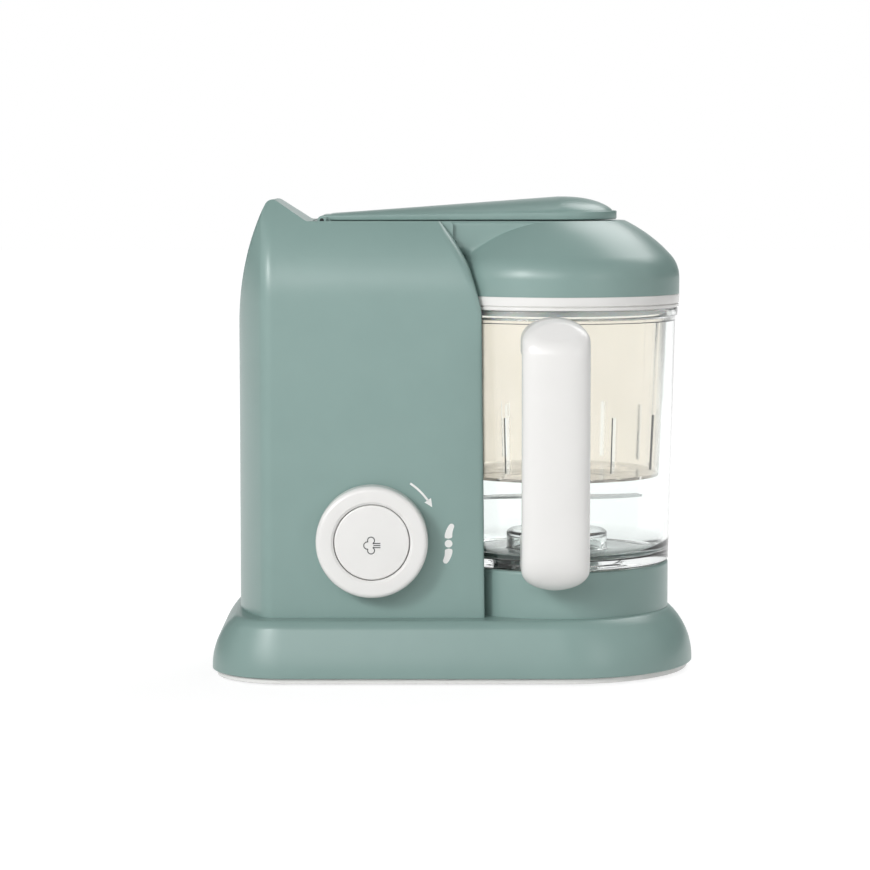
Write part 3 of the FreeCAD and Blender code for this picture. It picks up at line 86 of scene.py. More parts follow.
def finish(name, tones, roughness, grain, relief, patch=28.0, stretch=(1.0, 1.0, 1.0), **shader):
    """A worked surface: two tones drift over `patch` mm, and a grain `grain` mm wide and `relief` mm deep breaks
    up its gloss by the share `uneven`. `stretch` draws the grain out along an axis, as grinding or rolling does."""
    uneven = 0.12
    material = bpy.data.materials.new(name)
    material.use_nodes = True
    tree = material.node_tree
    tree.nodes.clear()
    place = add(tree, "ShaderNodeTexCoord").outputs["Object"]
    drawn = add(tree, "ShaderNodeMapping", {"Vector": place, "Scale": stretch}).outputs["Vector"]
    drift = add(tree, "ShaderNodeTexNoise", {"Vector": place, "Scale": 1 / (patch * MM), "Detail": 2.0})
    fine = add(tree, "ShaderNodeTexNoise", {"Vector": drawn, "Scale": 1 / (grain * MM), "Detail": 3.0})
    tone = add(
        tree, "ShaderNodeMix", {0: drift.outputs["Fac"], 6: linear(tones[0]), 7: linear(tones[1])},
        data_type="RGBA")
    gloss = add(
        tree, "ShaderNodeMapRange",
        {"Value": fine.outputs["Fac"], "From Min": 0.3, "From Max": 0.7, "To Min": roughness * (1 - uneven),
         "To Max": roughness * (1 + uneven)})
    bump = add(
        tree, "ShaderNodeBump", {"Height": fine.outputs["Fac"], "Distance": relief * MM, "Strength": 0.5})
    body = add(
        tree, "ShaderNodeBsdfPrincipled",
        {"Base Color": tone.outputs[2], "Roughness": gloss.outputs["Result"], "Normal": bump.outputs["Normal"],
         **shader})
    add(tree, "ShaderNodeOutputMaterial", {"Surface": body.outputs["BSDF"]})
    return material


# The slot in the record that each finish belongs to, and the finish
FINISHES = {
    # ABS coloured through and moulded in a spark-eroded tool: a satin skin with a broad soft highlight
    "sage_plastic": finish("Satin moulded sage ABS", ("#88A29D", "#829C97"), 0.33, 0.5, 0.008),
    # ABS from a polished tool: clean white with a fairly tight highlight
    "white_plastic": finish("Polished moulded white ABS", ("#EFEEEC", "#EAE9E7"), 0.24, 1.6, 0.006),
    # Copolyester, clear and polished: bright edges, faint flow lines
    "clear_plastic": finish(
        "Clear moulded copolyester", ("#FBFDFC", "#F6FAF9"), 0.03, 9.0, 0.006,
        **{"Transmission Weight": 1.0, "IOR": 1.45}),
    # Copolyester with a warm tint and a slightly misted skin from the steam
    "amber_plastic": finish(
        "Tinted moulded copolyester", ("#FEF9F3", "#FCF5EC"), 0.10, 2.0, 0.006,
        **{"Transmission Weight": 0.97, "IOR": 1.2}),
    # Acetal for shafts' bushes and couplings: waxy grey
    "grey_plastic": finish("Moulded grey acetal", ("#8B8F8F", "#838787"), 0.38, 0.6, 0.012),
    # Glass-fibre laminate under green lacquer: the weave shows through
    "circuit_board": finish("Lacquered glass-fibre laminate", ("#2F5A45", "#274E3B"), 0.32, 0.5, 0.02),
    # Moulded silicone: milky, dull and slightly soft at its edges
    "silicone": finish(
        "Moulded milky silicone", ("#D9DBD8", "#D0D3D0"), 0.48, 0.8, 0.015,
        **{"Subsurface Weight": 0.25, "Subsurface Scale": 0.002}),
    # Moulded rubber: dark grey, dull, with a fine dusty grain
    "black_rubber": finish("Moulded black rubber", ("#26282A", "#2E3032"), 0.62, 0.6, 0.03),
    # Stainless sheet, ground lengthways: fine lines that stretch the highlight
    "stainless_steel": finish(
        "Ground stainless steel", ("#C9CBCB", "#BFC2C2"), 0.24, 0.5, 0.012, stretch=(0.04, 1.0, 1.0),
        **{"Metallic": 1.0}),
    # Steel sheet, deep drawn and zinc plated: grey with a cloudy gloss
    "motor_steel": finish(
        "Zinc-plated drawn steel", ("#A9ADB0", "#989DA1"), 0.34, 3.0, 0.02, patch=9.0, **{"Metallic": 1.0}),
    # Die-cast aluminium: pale, with a pebbly dull skin
    "cast_aluminium": finish(
        "Die-cast aluminium", ("#B9BBBC", "#ADB0B1"), 0.42, 0.9, 0.04, **{"Metallic": 1.0}),
    # Pressed carbon: almost black with a faint graphite shine
    "carbon": finish("Pressed carbon", ("#2B2B2C", "#363637"), 0.45, 0.4, 0.02),
}
# Ink pressed on with a soft pad: a thin dull film
WHITE_INK = finish("Pad-printed white ink", ("#F4F4F2", "#ECECEA"), 0.45, 0.4, 0.004)
GREY_INK = finish("Pad-printed grey ink", ("#565859", "#505253"), 0.45, 0.4, 0.004)
# Steel blackened in hot oil: a dark dull shine
BLACK_STEEL = finish("Blackened steel", ("#2C2F2F", "#353838"), 0.42, 0.5, 0.01, **{"Metallic": 1.0})

BODY_OF = {node: body for body, nodes in frame["record"]["behaviour"]["bodies"].items() for node in nodes}
SLOT_OF = {name: node.material_slots[0].material.name for name, node in frame["nodes"].items()}
for name, node in frame["nodes"].items():
    for slot in node.material_slots:
        slot.material = FINISHES[SLOT_OF[name]]


# Shapes


def piece(name, mesh, material, body, slot, *nodes):
    """Put a mesh in the scene as a piece that rides on a body and stands for these solids of the frame."""
    thing = bpy.data.objects.new(name, mesh)
    bpy.context.scene.collection.objects.link(thing)
    mesh.materials.append(material)
    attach(thing, body)
    if nodes:
        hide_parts(*nodes)
    return thing


def sheets(name, grids, sharp=35.0):
    """A mesh of quads between the neighbouring points of each grid, merged where grids meet, with its normals
    turned outwards and smooth but for edges sharper than `sharp` degrees."""
    start = np.cumsum([0] + [grid[..., 0].size for grid in grids])
    corners = [first + np.arange(grid[..., 0].size).reshape(grid.shape[:2]) for first, grid in zip(start, grids)]
    faces = [
        np.stack([at[:-1, :-1], at[1:, :-1], at[1:, 1:], at[:-1, 1:]], -1).reshape(-1, 4) for at in corners]
    points = np.concatenate([grid.reshape(-1, 3) for grid in grids]) * MM
    mesh = bpy.data.meshes.new(name)
    mesh.from_pydata(points.tolist(), [], np.concatenate(faces).tolist())
    shell = bmesh.new()
    shell.from_mesh(mesh)
    bmesh.ops.remove_doubles(shell, verts=shell.verts, dist=0.002 * MM)
    bmesh.ops.dissolve_degenerate(shell, edges=shell.edges, dist=0.001 * MM)
    bmesh.ops.recalc_face_normals(shell, faces=shell.faces)
    shell.to_mesh(mesh)
    shell.free()
    mesh.shade_smooth()
    mesh.set_sharp_from_angle(angle=math.radians(sharp))
    return mesh


def moulded(name, grids, body, slot, *nodes, sharp=35.0):
    """A piece made of grids in the finish of its slot."""
    return piece(name, sheets(name, grids, sharp), FINISHES[slot], body, slot, *nodes)


def soften(thing, width, angle=35.0):
    """Round a piece's edges as the tool that moulded it did."""
    bevel = thing.modifiers.new("moulded_edges", "BEVEL")
    bevel.width = width * MM
    bevel.segments = 3
    bevel.limit_method = "ANGLE"
    bevel.angle_limit = math.radians(angle)
    bevel.harden_normals = True


def spokes(start, end, centre, steps):
    """An arc: the spokes a and b of its centre, turned through w, run as (a sin((1-s)w) + b sin(sw)) / sin w."""
    a, b = np.subtract(start, centre), np.subtract(end, centre)
    turn = np.arccos(np.clip(a @ b / np.linalg.norm(a) / np.linalg.norm(b), -1, 1))
    share = np.linspace(0, 1, steps)[:, None]
    return centre + (a * np.sin((1 - share) * turn) + b * np.sin(share * turn)) / np.sin(turn)


def arc(start, end, radius, steps=24):
    """An arc of that radius from start to end, bulging to the left of the way, or to the right if negative."""
    start, end = np.array(start, float), np.array(end, float)
    way = (end - start) / np.linalg.norm(end - start)
    reach = math.sqrt(radius ** 2 - np.sum((end - start) ** 2) / 4)
    centre = (start + end) / 2 + math.copysign(reach, radius) * np.array([way[1], -way[0]])
    return spokes(start, end, centre, steps)


def rounded(corners, radii, steps=8):
    """A line through corners, each but the first and last an arc that touches both its sides."""
    corners = np.array(corners, float)
    line = [corners[:1]]
    for before, corner, after, radius in zip(corners[:-2], corners[1:-1], corners[2:], radii):
        a = (before - corner) / np.linalg.norm(before - corner)
        b = (after - corner) / np.linalg.norm(after - corner)
        half = np.arccos(np.clip(a @ b, -1, 1)) / 2
        centre = corner + (a + b) / np.linalg.norm(a + b) * radius / np.sin(half)
        line.append(spokes(
            corner + a * radius / np.tan(half), corner + b * radius / np.tan(half), centre, steps))
    line.append(corners[-1:])
    return np.concatenate(line)


def turned(profile, steps=160):
    """A turned shape about the bowl's axis: (r, h) goes to (r cos t, r sin t, h) from it over a full turn."""
    r, h = np.array(profile, float).T[..., None]
    t = np.linspace(0, 2 * np.pi, steps + 1)
    return np.stack([BOWL_X + r * np.cos(t), BOWL_Y + r * np.sin(t), h + 0 * t], -1)


def faced(profile, steps=144, x=KNOB_X, z=KNOB_Z):
    """A turned shape about an axis towards the viewer, d out from the tower's front: (r, d) goes to
    (x + r cos t, front - d, z + r sin t)."""
    r, d = np.array(profile, float).T[..., None]
    t = np.linspace(0, 2 * np.pi, steps + 1)
    return np.stack([x + r * np.cos(t), TOWER_FRONT - d + 0 * t, z + r * np.sin(t)], -1)


def sweep(x, z, radius, start, end, steps):
    """Points in x and z on a circle about (x, z), from one angle in degrees to another."""
    turn = np.radians(np.linspace(start, end, steps))
    return np.stack([x + radius * np.cos(turn), z + radius * np.sin(turn)], -1)


# Base and pedestal


def base_line(inset, front):
    """The base in plan, `inset` in from its ends and `front` in from its front and back: straight sides, round left
    corners and a full round right end."""
    left, right, half, corner = inset - BASE_END, BASE_END - inset, BASE_HALF - front, 44.0 - inset
    corners = [(0, -half), (right, -half), (right, half), (left, half), (left, -half), (0, -half)]
    return rounded(corners, (half, half, corner, corner), 40) + (0, BOWL_Y)


def make_base():
    """The base's flared shell: its outline drawn in along a flank, over a soft edge. At both ends the flank is an arc
    of radius `flank`. At the front and back it is the steeper hyperbola `lean` (sqrt(h^2 + `bend`^2) - `bend`) at
    the height h above its foot."""
    flank, lean, bend = 41.37, 0.27, 8.0
    rise = np.linspace(0, 27.5, 18)
    foot = np.array([(2.6, 4.8), (0.5, 4.8), (0.0, 5.3)])
    side = np.stack([flank - np.sqrt(flank ** 2 - rise ** 2), 6.4 + rise], -1)
    edge = rounded([side[-1], (14.2, BASE_TOP), (26.0, BASE_TOP)], (4.5,))[1:]
    insets, heights = np.concatenate([foot, side, edge]).T
    steep = lean * (np.hypot(rise, bend) - bend)
    fronts = np.concatenate([foot[:, 0], steep, edge[:, 0] + steep[-1] - side[-1, 0]])
    plans = np.stack([base_line(inset, front) for inset, front in zip(insets, fronts)])
    rings = np.concatenate([plans, heights[:, None, None] + 0 * plans[..., :1]], -1)
    middle = 0 * rings[:1] + (0, BOWL_Y, BASE_TOP)
    moulded("base_flare", [np.concatenate([rings, middle])], "housing", "sage_plastic", "base_shell")


def make_pedestal():
    """The round pedestal that the bowl stands on, turned, with the drive's collar in its middle."""
    line = rounded(
        [(66.8, BASE_TOP), (66.8, 65.0), (25.0, 65.0), (25.0, 71.0), (22.0, 71.0), (22.0, 62.0), (3.2, 62.0)],
        (1.6, 1.5, 0.8, 0.8, 0.6))
    moulded("pedestal", [turned(line)], "housing", "sage_plastic", "bowl_pedestal")


# Tower


def tower_plan():
    """Half of the tower in plan as x and half width: a bulged left face, a soft corner and a straight."""
    bulge, corner = 112.78, 9.0
    centre = TOWER_LEFT + bulge
    soft_x = centre - math.sqrt((bulge - corner) ** 2 - (TOWER_HALF - corner) ** 2)
    meet = math.atan2(TOWER_HALF - corner, centre - soft_x)
    face, bend = np.linspace(0, meet, 22), np.linspace(meet, np.pi / 2, 10)[1:]
    x = np.concatenate([centre - bulge * np.cos(face), soft_x - corner * np.cos(bend)])
    return x, np.concatenate([bulge * np.sin(face), TOWER_HALF - corner + corner * np.sin(bend)])


def tower_height(x):
    """Height of the tower at x: an arc of radius `bulge` up its left side, a round peak, a ramp and a level."""
    bulge, arc_z, arc_width, peak, ramp_end = 196.0, 197.0, 16.0, (-108.6, 282.6), -86.6
    side = arc_width * np.linspace(0, 1, 30) ** 2
    rise = arc_z + np.sqrt(bulge ** 2 - (bulge - side) ** 2)
    corners = [(TOWER_LEFT + arc_width, rise[-1]), peak, (ramp_end, TOWER_TOP), (0.0, TOWER_TOP)]
    line = np.concatenate([np.stack([TOWER_LEFT + side, rise], -1), rounded(corners, (4.5, 1.0))[1:]])
    return np.interp(x, line[:, 0], line[:, 1])


def recess(z):
    """Radius of the hollow in the tower's right side, a cone about the bowl that opens upwards."""
    return np.interp(z, (BASE_TOP, 287.8), (73.4, 75.0))


def tower_depth(x, z, crown):
    """Half depth of the tower: its plan's half depth, drawn in higher up by the crown, an arc of that radius, in
    the same share all over, so that the crease beside the left face runs straight up to the peak."""
    taken = crown - np.sqrt(crown ** 2 - np.maximum(z - CROWN_START, 0) ** 2)
    return np.interp(x, *tower_plan()) * (1 - taken / TOWER_HALF)


def tower_side(front, crown):
    """One half of the tower as grids: its skin from the left face to the lip, its top, the round nose of the lip,
    the small facet of its shoulder and its part of the hollow. From `upright` on the skin's columns lean with the
    lip, which is where the skin meets the hollow or, higher up, the shoulder's arc of radius `bend`. The nose is
    the curve (1-s)^2 A + 2s(1-s) B + s^2 C from A on the skin about the corner B to C on the facet or in the
    hollow."""
    upright, nose_size, bend, bend_x, bend_z = -20.0, 6.0, 138.0, -115.2, 180.3
    share = np.unique(np.concatenate([
        np.linspace(0, 0.72, 10), np.linspace(0.72, 1, 20),
        [(TRAY_UNDER - BASE_TOP) / (TOWER_TOP - BASE_TOP)]]))
    z = BASE_TOP + (TOWER_TOP - BASE_TOP) * share

    # The lip, and where its nose ends
    gap, deep = recess(z), tower_depth(0.0, z, crown)
    shoulder = bend_x + np.sqrt(bend ** 2 - np.maximum(z - bend_z, 0) ** 2)
    edge = np.minimum(BOWL_X - np.sqrt(gap ** 2 - deep ** 2), shoulder)
    hollow = np.sqrt(np.maximum(gap ** 2 - (BOWL_X - edge) ** 2, 0))
    inner = np.clip(np.where(z > TRAY_UNDER, np.maximum(hollow, TRAY_HALF), hollow), 0, deep)
    facet, swing, limit = deep - inner, np.arcsin(inner / gap), np.arcsin(TRAY_HALF / gap)
    nose = np.minimum(nose_size, 0.8 * (facet + gap * (swing - limit)))
    past = nose > facet
    swing = swing - np.maximum(nose - facet, 0) / gap
    tail_x = np.where(past, BOWL_X - gap * np.cos(swing), edge)
    tail = np.where(past, gap * np.sin(swing), deep - nose)

    # The skin and the nose
    x = np.unique(np.concatenate([
        tower_plan()[0], np.linspace(-116.0, -103.0, 16), (-95.0, -87.5, -86.0, TRAY_LEFT),
        np.linspace(-74, upright, 10)]))
    left_x = x[:, None] + 0 * share
    left_z = BASE_TOP + (tower_height(x)[:, None] - BASE_TOP) * share
    right_x = upright + np.linspace(0, 1, 8)[1:, None] * (edge - nose - upright)
    turn = np.linspace(0, 1, 18)[1:, None]
    nose_x = (1 - turn) ** 2 * (edge - nose) + 2 * turn * (1 - turn) * edge + turn ** 2 * tail_x
    skin_x = np.concatenate([left_x, right_x, nose_x])
    skin_z = np.concatenate([left_z, z + 0 * right_x, z + 0 * nose_x])
    depth = tower_depth(skin_x, skin_z, crown)
    depth[-turn.size:] = (1 - turn ** 2) * deep + turn ** 2 * tail
    grids = [(skin_x, depth, skin_z)]

    # The top, closed left of the tray and a strip beside it
    across = np.linspace(0, 1, 7)
    rim_x, rim_z, rim = skin_x[:, -1:], skin_z[:, -1:], depth[:, -1:]
    closed = rim_x[:, 0] <= TRAY_LEFT
    middle = np.where(closed, 0.0, TRAY_HALF)[:, None]
    top = (rim_x + 0 * across, rim + (middle - rim) * across, rim_z + 0 * across)
    grids.append([part[closed] for part in top])
    seam = np.argmax(~closed) - 1
    beside = rim + (TRAY_HALF - rim) * across
    grids.append([part[seam:, ::3] for part in (top[0], beside, top[2])])

    # The facet and the hollow
    flat = np.linspace(0, 1, 4)[:, None]
    facet_off = tail + np.where(past, 0.0, inner - tail) * flat
    grids.append((tail_x + 0 * flat, facet_off, z + 0 * flat))
    swing = swing + (limit - swing) * np.linspace(0, 1, 8)[:, None]
    grids.append((BOWL_X - gap * np.cos(swing), gap * np.sin(swing), z + 0 * swing))
    sign = -1 if front else 1
    return [np.stack([a, BOWL_Y + sign * b, c], -1) for a, b, c in grids], z[z <= TRAY_UNDER + 0.01]


def make_tower():
    """The tower's two shells as one skin, with the hollow for the bowl closed under the lid's channel."""
    front, z = tower_side(True, 77.0)
    rear, _ = tower_side(False, 74.0)
    limit = np.arcsin(TRAY_HALF / recess(z))
    swing = limit * np.linspace(-1, 1, 28)[:, None]
    back = np.stack(
        [BOWL_X - recess(z) * np.cos(swing), BOWL_Y + recess(z) * np.sin(swing), z + 0 * swing], -1)
    tower = moulded(
        "tower", front + rear + [back], "housing", "sage_plastic", "tower_front_shell", "tower_rear_shell",
        sharp=40.0)
    soften(tower, 0.9, 40.0)


# Bowl and handle


def make_bowl():
    """The clear bowl as one closed turned wall, with the raised hub that the blade's spindle runs in."""
    line = rounded(
        [(6.0, 80.0), (6.0, 79.3), (27.0, 79.3), (27.0, 65.3), (67.0, 65.3), (70.4, 211.0), (71.7, 212.0),
         (71.7, 216.5), (69.0, 216.5), (69.0, 209.0), (67.6, 209.0), (64.3, 70.1), (30.2, 70.1), (30.2, 82.5),
         (10.0, 82.5), (10.0, 94.5), (6.0, 94.5), (6.0, 80.0)],
        (0.2, 1.0, 0.8, 1.8, 0.5, 0.4, 0.8, 0.8, 0.4, 0.3, 9.0, 1.5, 2.0, 1.0, 0.8, 0.2))
    moulded("clear_bowl", [turned(line, 192)], "bowl", "clear_plastic", "bowl")


def holed(outer, inner, count):
    """Two turned skins as grids, with `count` holes two steps wide between their second and third rows, and the
    holes' own sides. The skins start half a pitch further round, so that no hole lies on their seam."""
    pitch = (outer.shape[1] - 1) // count
    shift = (pitch + 1) // 2
    outer, inner = (np.concatenate([skin[:, shift:], skin[:, 1:shift + 1]], 1) for skin in (outer, inner))
    grids = [part for skin in (outer, inner) for part in (skin[:2], skin[2:])]
    start = 0
    for left in range(pitch - shift - 1, outer.shape[1] - 1, pitch):
        right = left + 2
        grids += [skin[1:3, start:left + 1] for skin in (outer, inner)]
        grids += [np.stack([outer[1:3, side], inner[1:3, side]]) for side in (left, right)]
        grids += [np.stack([outer[row, left:right + 1], inner[row, left:right + 1]]) for row in (1, 2)]
        start = right
    return grids + [skin[1:3, start:] for skin in (outer, inner)]


def make_basket():
    """The steam basket and the ring that seals the lid on the bowl. The basket is turned. Its wall has twelve
    windows, each with a ridge above it up to the flange, and its floor sixteen slots."""
    steps, windows, slots, ridge, floor, under = 240, 12, 16, 1.012, 118.0, 116.4
    outer = turned(
        [(61.0, under), (61.22, 121.2), (62.71, 154.0), (62.8, 156.0), (65.2, 208.6), (65.6, 209.0), (68.7, 209.0),
         (68.7, 212.0)], steps)
    inner = turned(
        [(59.4, floor), (59.55, 121.2), (61.1, 154.0), (61.2, 156.0), (63.4, 208.6), (63.55, 209.0), (63.6, 211.0),
         (63.6, 212.0)], steps)
    axis = np.array([BOWL_X, BOWL_Y, 0.0])
    ridges = outer[3:5, ::steps // windows]
    ridges[:] = axis + (ridges - axis) * (ridge, ridge, 1.0)
    top, bottom = (
        turned([(0.0, height), (18.0, height), (48.0, height), (end, height)], steps)
        for height, end in ((floor, 59.4), (under, 61.0)))
    rim = np.stack([outer[-1], inner[-1]])
    moulded("steam_basket_shown", [rim] + holed(outer, inner, windows) + holed(top, bottom, slots), "bowl",
            "amber_plastic", "steam_basket")
    low, out = 213.2, 66.6
    ring = rounded(
        [(64.6, RIM_UNDER), (out, RIM_UNDER), (out, low), (RIM_INSIDE, low), (RIM_INSIDE, RIM_UNDER),
         (64.6, RIM_UNDER)], (0.4,) * 4)
    moulded("lid_gasket_shown", [turned(ring, 192)], "lid", "silicone", "lid_gasket")


def make_handle():
    """The handle, carried up the bowl's front on superelliptic sections |u|^2.5 + |v|^2.5 = 1. Its ends are half
    ellipses from the front and arcs of radius `round_end` from the side, a slanting flat cuts its upper end, its
    back stands off the bowl along the grip and lies on the bowl's skin along the two arms."""
    low, high, reach, half, depth, x_middle = 57.4, 213.5, 108.0, 19.5, 9.0, BOWL_X - 4.5
    grip_low, grip_high, grip_back, arm_back, hook = 86.8, 193.5, 92.0, 56.0, 12.0
    round_end, tall_end, flat = 22.0, 13.0, 20.9
    ends = 1 - np.cos(np.linspace(0, np.pi / 2, 26))
    foot, brow = low + (grip_low - low) * ends, high - (high - grip_high) * ends[::-1]
    hooks = hook * np.linspace(0, 1, 10)
    grip = np.concatenate([grip_low + hooks, np.linspace(104, 176, 16), grip_high - hooks[::-1]])
    z = np.concatenate([foot, grip, brow])
    near_end = np.minimum(z - low, high - z)
    width = half * np.sqrt(1 - np.maximum(1 - near_end / tall_end, 0) ** 2)[:, None]
    front = (reach - round_end + np.sqrt(round_end ** 2 - np.maximum(round_end - near_end, 0) ** 2))[:, None]
    bend = np.clip(np.minimum(z - grip_low, grip_high - z), 0, hook)
    on_arm = np.ones(z.size, bool)
    on_arm[foot.size:foot.size + grip.size] = False
    back = np.where(on_arm, arm_back, grip_back - hook + np.sqrt(hook ** 2 - (hook - bend) ** 2))[:, None]
    turn = np.linspace(0, 2 * np.pi, 97)
    across = np.sign(np.cos(turn)) * np.abs(np.cos(turn)) ** 0.8
    forward = np.maximum(-np.sin(turn), 0) ** 0.8
    behind = np.maximum(np.sin(turn), 0) ** np.where(on_arm[:, None], 0.16, 0.7)
    x = width * across
    off = depth - front - depth * forward + (front - depth - back) * behind
    slant = math.sqrt(0.5)
    proud = np.maximum(slant * (z[:, None] - (high - round_end)) - slant * (off + reach - round_end) - flat, 0)
    off, height = off + slant * proud, z[:, None] - slant * proud

    # The bowl's skin, a little outside it: its foot, its wall and its rim
    skin = np.where(z < 66.8, 69.2, np.where(z > 210.5, 71.85, np.interp(z, (66.8, 211.0), (67.2, 70.55))))
    off = np.minimum(off, -np.sqrt(skin[:, None] ** 2 - (x + x_middle - BOWL_X) ** 2))
    rings = np.stack([x_middle + x, BOWL_Y + off, height + 0 * x], -1)
    caps = rings[[0, -1]].mean(1, keepdims=True) + 0 * rings[[0, -1]]
    moulded("handle", [np.concatenate([caps[:1], rings, caps[1:]])], "bowl", "white_plastic", "bowl_handle",
            "handle_cover", sharp=50.0)


# Lid and arm


def bar(outline, low, high):
    """A closed outline in x and z, drawn out across the machine from the offset `low` to `high`, with flat ends."""
    ring = np.concatenate([outline, outline[:1]])
    middle = outline.mean(0) + 0 * ring
    return np.stack([
        np.stack([line[:, 0], BOWL_Y + off + 0 * line[:, 0], line[:, 1]], -1)
        for line, off in ((middle, low), (ring, low), (ring, high), (middle, high))])


def dome_profile(inset):
    """The dome drawn in by an inset, from the rim up to under the neck: an upright band, a shoulder and a crown
    about the dome's middle, which the shoulder runs into."""
    shoulder, crown = 20.0 - inset, DOME_RADIUS - inset
    bend_x = LID_RADIUS - 20.0
    meet = math.atan2(DOME_SPRING - DOME_MIDDLE, bend_x)
    lean = np.linspace(0, meet, 14)
    bend = shoulder * np.stack([np.cos(lean), np.sin(lean)], -1) + (bend_x, DOME_SPRING)
    lean = np.linspace(meet, math.asin((NECK_UNDER - inset - DOME_MIDDLE) / crown), 5)[1:]
    cap = crown * np.stack([np.cos(lean), np.sin(lean)], -1) + (0.0, DOME_MIDDLE)
    return np.concatenate([[(LID_RADIUS - inset, RIM_TOP)], bend, cap])


def make_lid():
    """The lid's dome and neck in one skin. Up to the neck the rows are circles about the bowl's axis; the last four
    go on from the circle below them towards the neck's outline, by `fill` at most, which fills the corner under the
    neck. Above it a row is the circle of radius r, a hollow arc of radius `blend` that leaves it where
    sin a = (half + blend) / (r + blend), the neck's straight side and its round corner. The rear half mirrors the
    front half."""
    blend, corner, edge, fill, wall, ceiling = 4.0, 3.0, 2.0, 6.0, 2.6, 265.3
    brim = LID_TOP - edge
    over = brim + edge * np.sin(np.linspace(0, np.pi / 2, 8))[1:]
    z = np.concatenate([np.linspace(NECK_UNDER, brim, 14), over])
    inset = (edge - np.sqrt(np.maximum(edge ** 2 - np.maximum(z - brim, 0) ** 2, 0)))[:, None]
    r = np.sqrt(DOME_RADIUS ** 2 - (z - DOME_MIDDLE) ** 2)[:, None]
    half, end = 40.0 - inset, HINGE_X + 3.5 - BOWL_X + inset
    lean = np.pi - np.arcsin((half + blend) / (r + blend))
    leave = (r + blend) * np.cos(lean)
    share, straight = np.linspace(0, 1, 48), np.linspace(0, 1, 14)[1:]
    a = lean * share
    b = np.pi - lean + (lean - np.pi / 2) * np.linspace(0, 1, 9)[1:]
    c = -np.pi / 2 * (1 + np.linspace(0, 1, 7)[1:])
    x = np.concatenate([
        r * np.cos(a), leave + blend * np.cos(b), leave + (end + corner - leave) * straight,
        end + corner + corner * np.cos(c), end], 1)
    off = np.concatenate([
        -r * np.sin(a), blend * np.sin(b) - half - blend, -half + 0 * straight, corner * np.sin(c) + corner - half,
        0 * end], 1)

    # The dome under the neck, from the middle of its ceiling down inside and up outside
    rows = np.concatenate([[(0.0, ceiling), (39.0, ceiling)], dome_profile(wall)[::-1], dome_profile(0.0)])
    leaves = lean[0, 0]
    neck_side = leaves + np.radians(4.8)
    bends = b.shape[1]
    spread = np.concatenate([
        leaves * share, np.linspace(leaves, neck_side, bends + 1)[1:],
        np.linspace(neck_side, np.pi, x.shape[1] - share.size - bends + 1)[1:]])
    ring_x, ring_off = rows[:, :1] * np.cos(spread), -rows[:, :1] * np.sin(spread)
    way_x, way_off = x[0] - ring_x[-5], off[0] - ring_off[-5]
    part = np.linspace(0.25, 1, 4)[:, None] * np.minimum(fill / np.hypot(way_x, way_off), 1)
    ring_x[-4:] = ring_x[-5] + part * way_x
    ring_off[-4:] = ring_off[-5] + part * way_off
    lid_x = np.concatenate([ring_x, x, x[-1:], x[-1:]])
    lid_off = np.concatenate([ring_off, off, off[-1:] / 2, 0 * off[-1:]])
    lid_z = np.concatenate([rows[:, 1], z, [LID_TOP, LID_TOP]])[:, None] + 0 * lid_x
    halves = [np.stack([BOWL_X + lid_x, BOWL_Y + sign * lid_off, lid_z], -1) for sign in (1, -1)]

    lug_in, lug_out, lug_x = 30.8, 35.8, HINGE_X + 6.0
    lug = np.concatenate([
        sweep(HINGE_X, HINGE_Z, KNUCKLE, 50, 270, 24), [(lug_x, 264.0), (lug_x, HINGE_Z - 1.0)]])
    lugs = [bar(lug, -lug_out, -lug_in), bar(lug, lug_in, lug_out)]
    moulded("lid_shell", halves + lugs, "lid", "sage_plastic", "lid_dome")

    rim = rounded(
        [(RIM_INSIDE, 220.0), (RIM_INSIDE, RIM_UNDER), (72.3, RIM_UNDER), (72.3, 218.6), (71.3, 218.8),
         (71.3, 219.2), (LID_RADIUS, 219.4), (LID_RADIUS, RIM_TOP), (RIM_INSIDE, RIM_TOP), (RIM_INSIDE, 220.0)],
        (0.3, 0.6, 0.3, 0.1, 0.1, 0.25, 0.5, 0.3))
    moulded("lid_rim", [turned(rim, 192)], "lid", "white_plastic", "lid_ring")


def arm_line(inset):
    """The arm in plan, `inset` in from its edge: sides that spread from the hinge towards a round free end."""
    left, right, narrow, wide, end = HINGE_X + inset, ARM_END - inset, 30.0 - inset, 36.2 - inset, 34.4 - inset
    corners = [(left, 0), (left, -narrow), (right, -wide), (right, wide), (left, narrow), (left, 0)]
    return rounded(corners, (2.0, end, end, 2.0), 40)


def plate_under(x):
    """Height of the underside of the arm's plate, which leans slightly up towards its free end."""
    return np.interp(x, (HINGE_X, ARM_END), (268.2, 268.7))


def plate_top(x):
    """Height of the top of the arm's plate, which grows thicker towards its free end."""
    return plate_under(x) + np.interp(x, (HINGE_X, ARM_END), (3.0, 5.0))


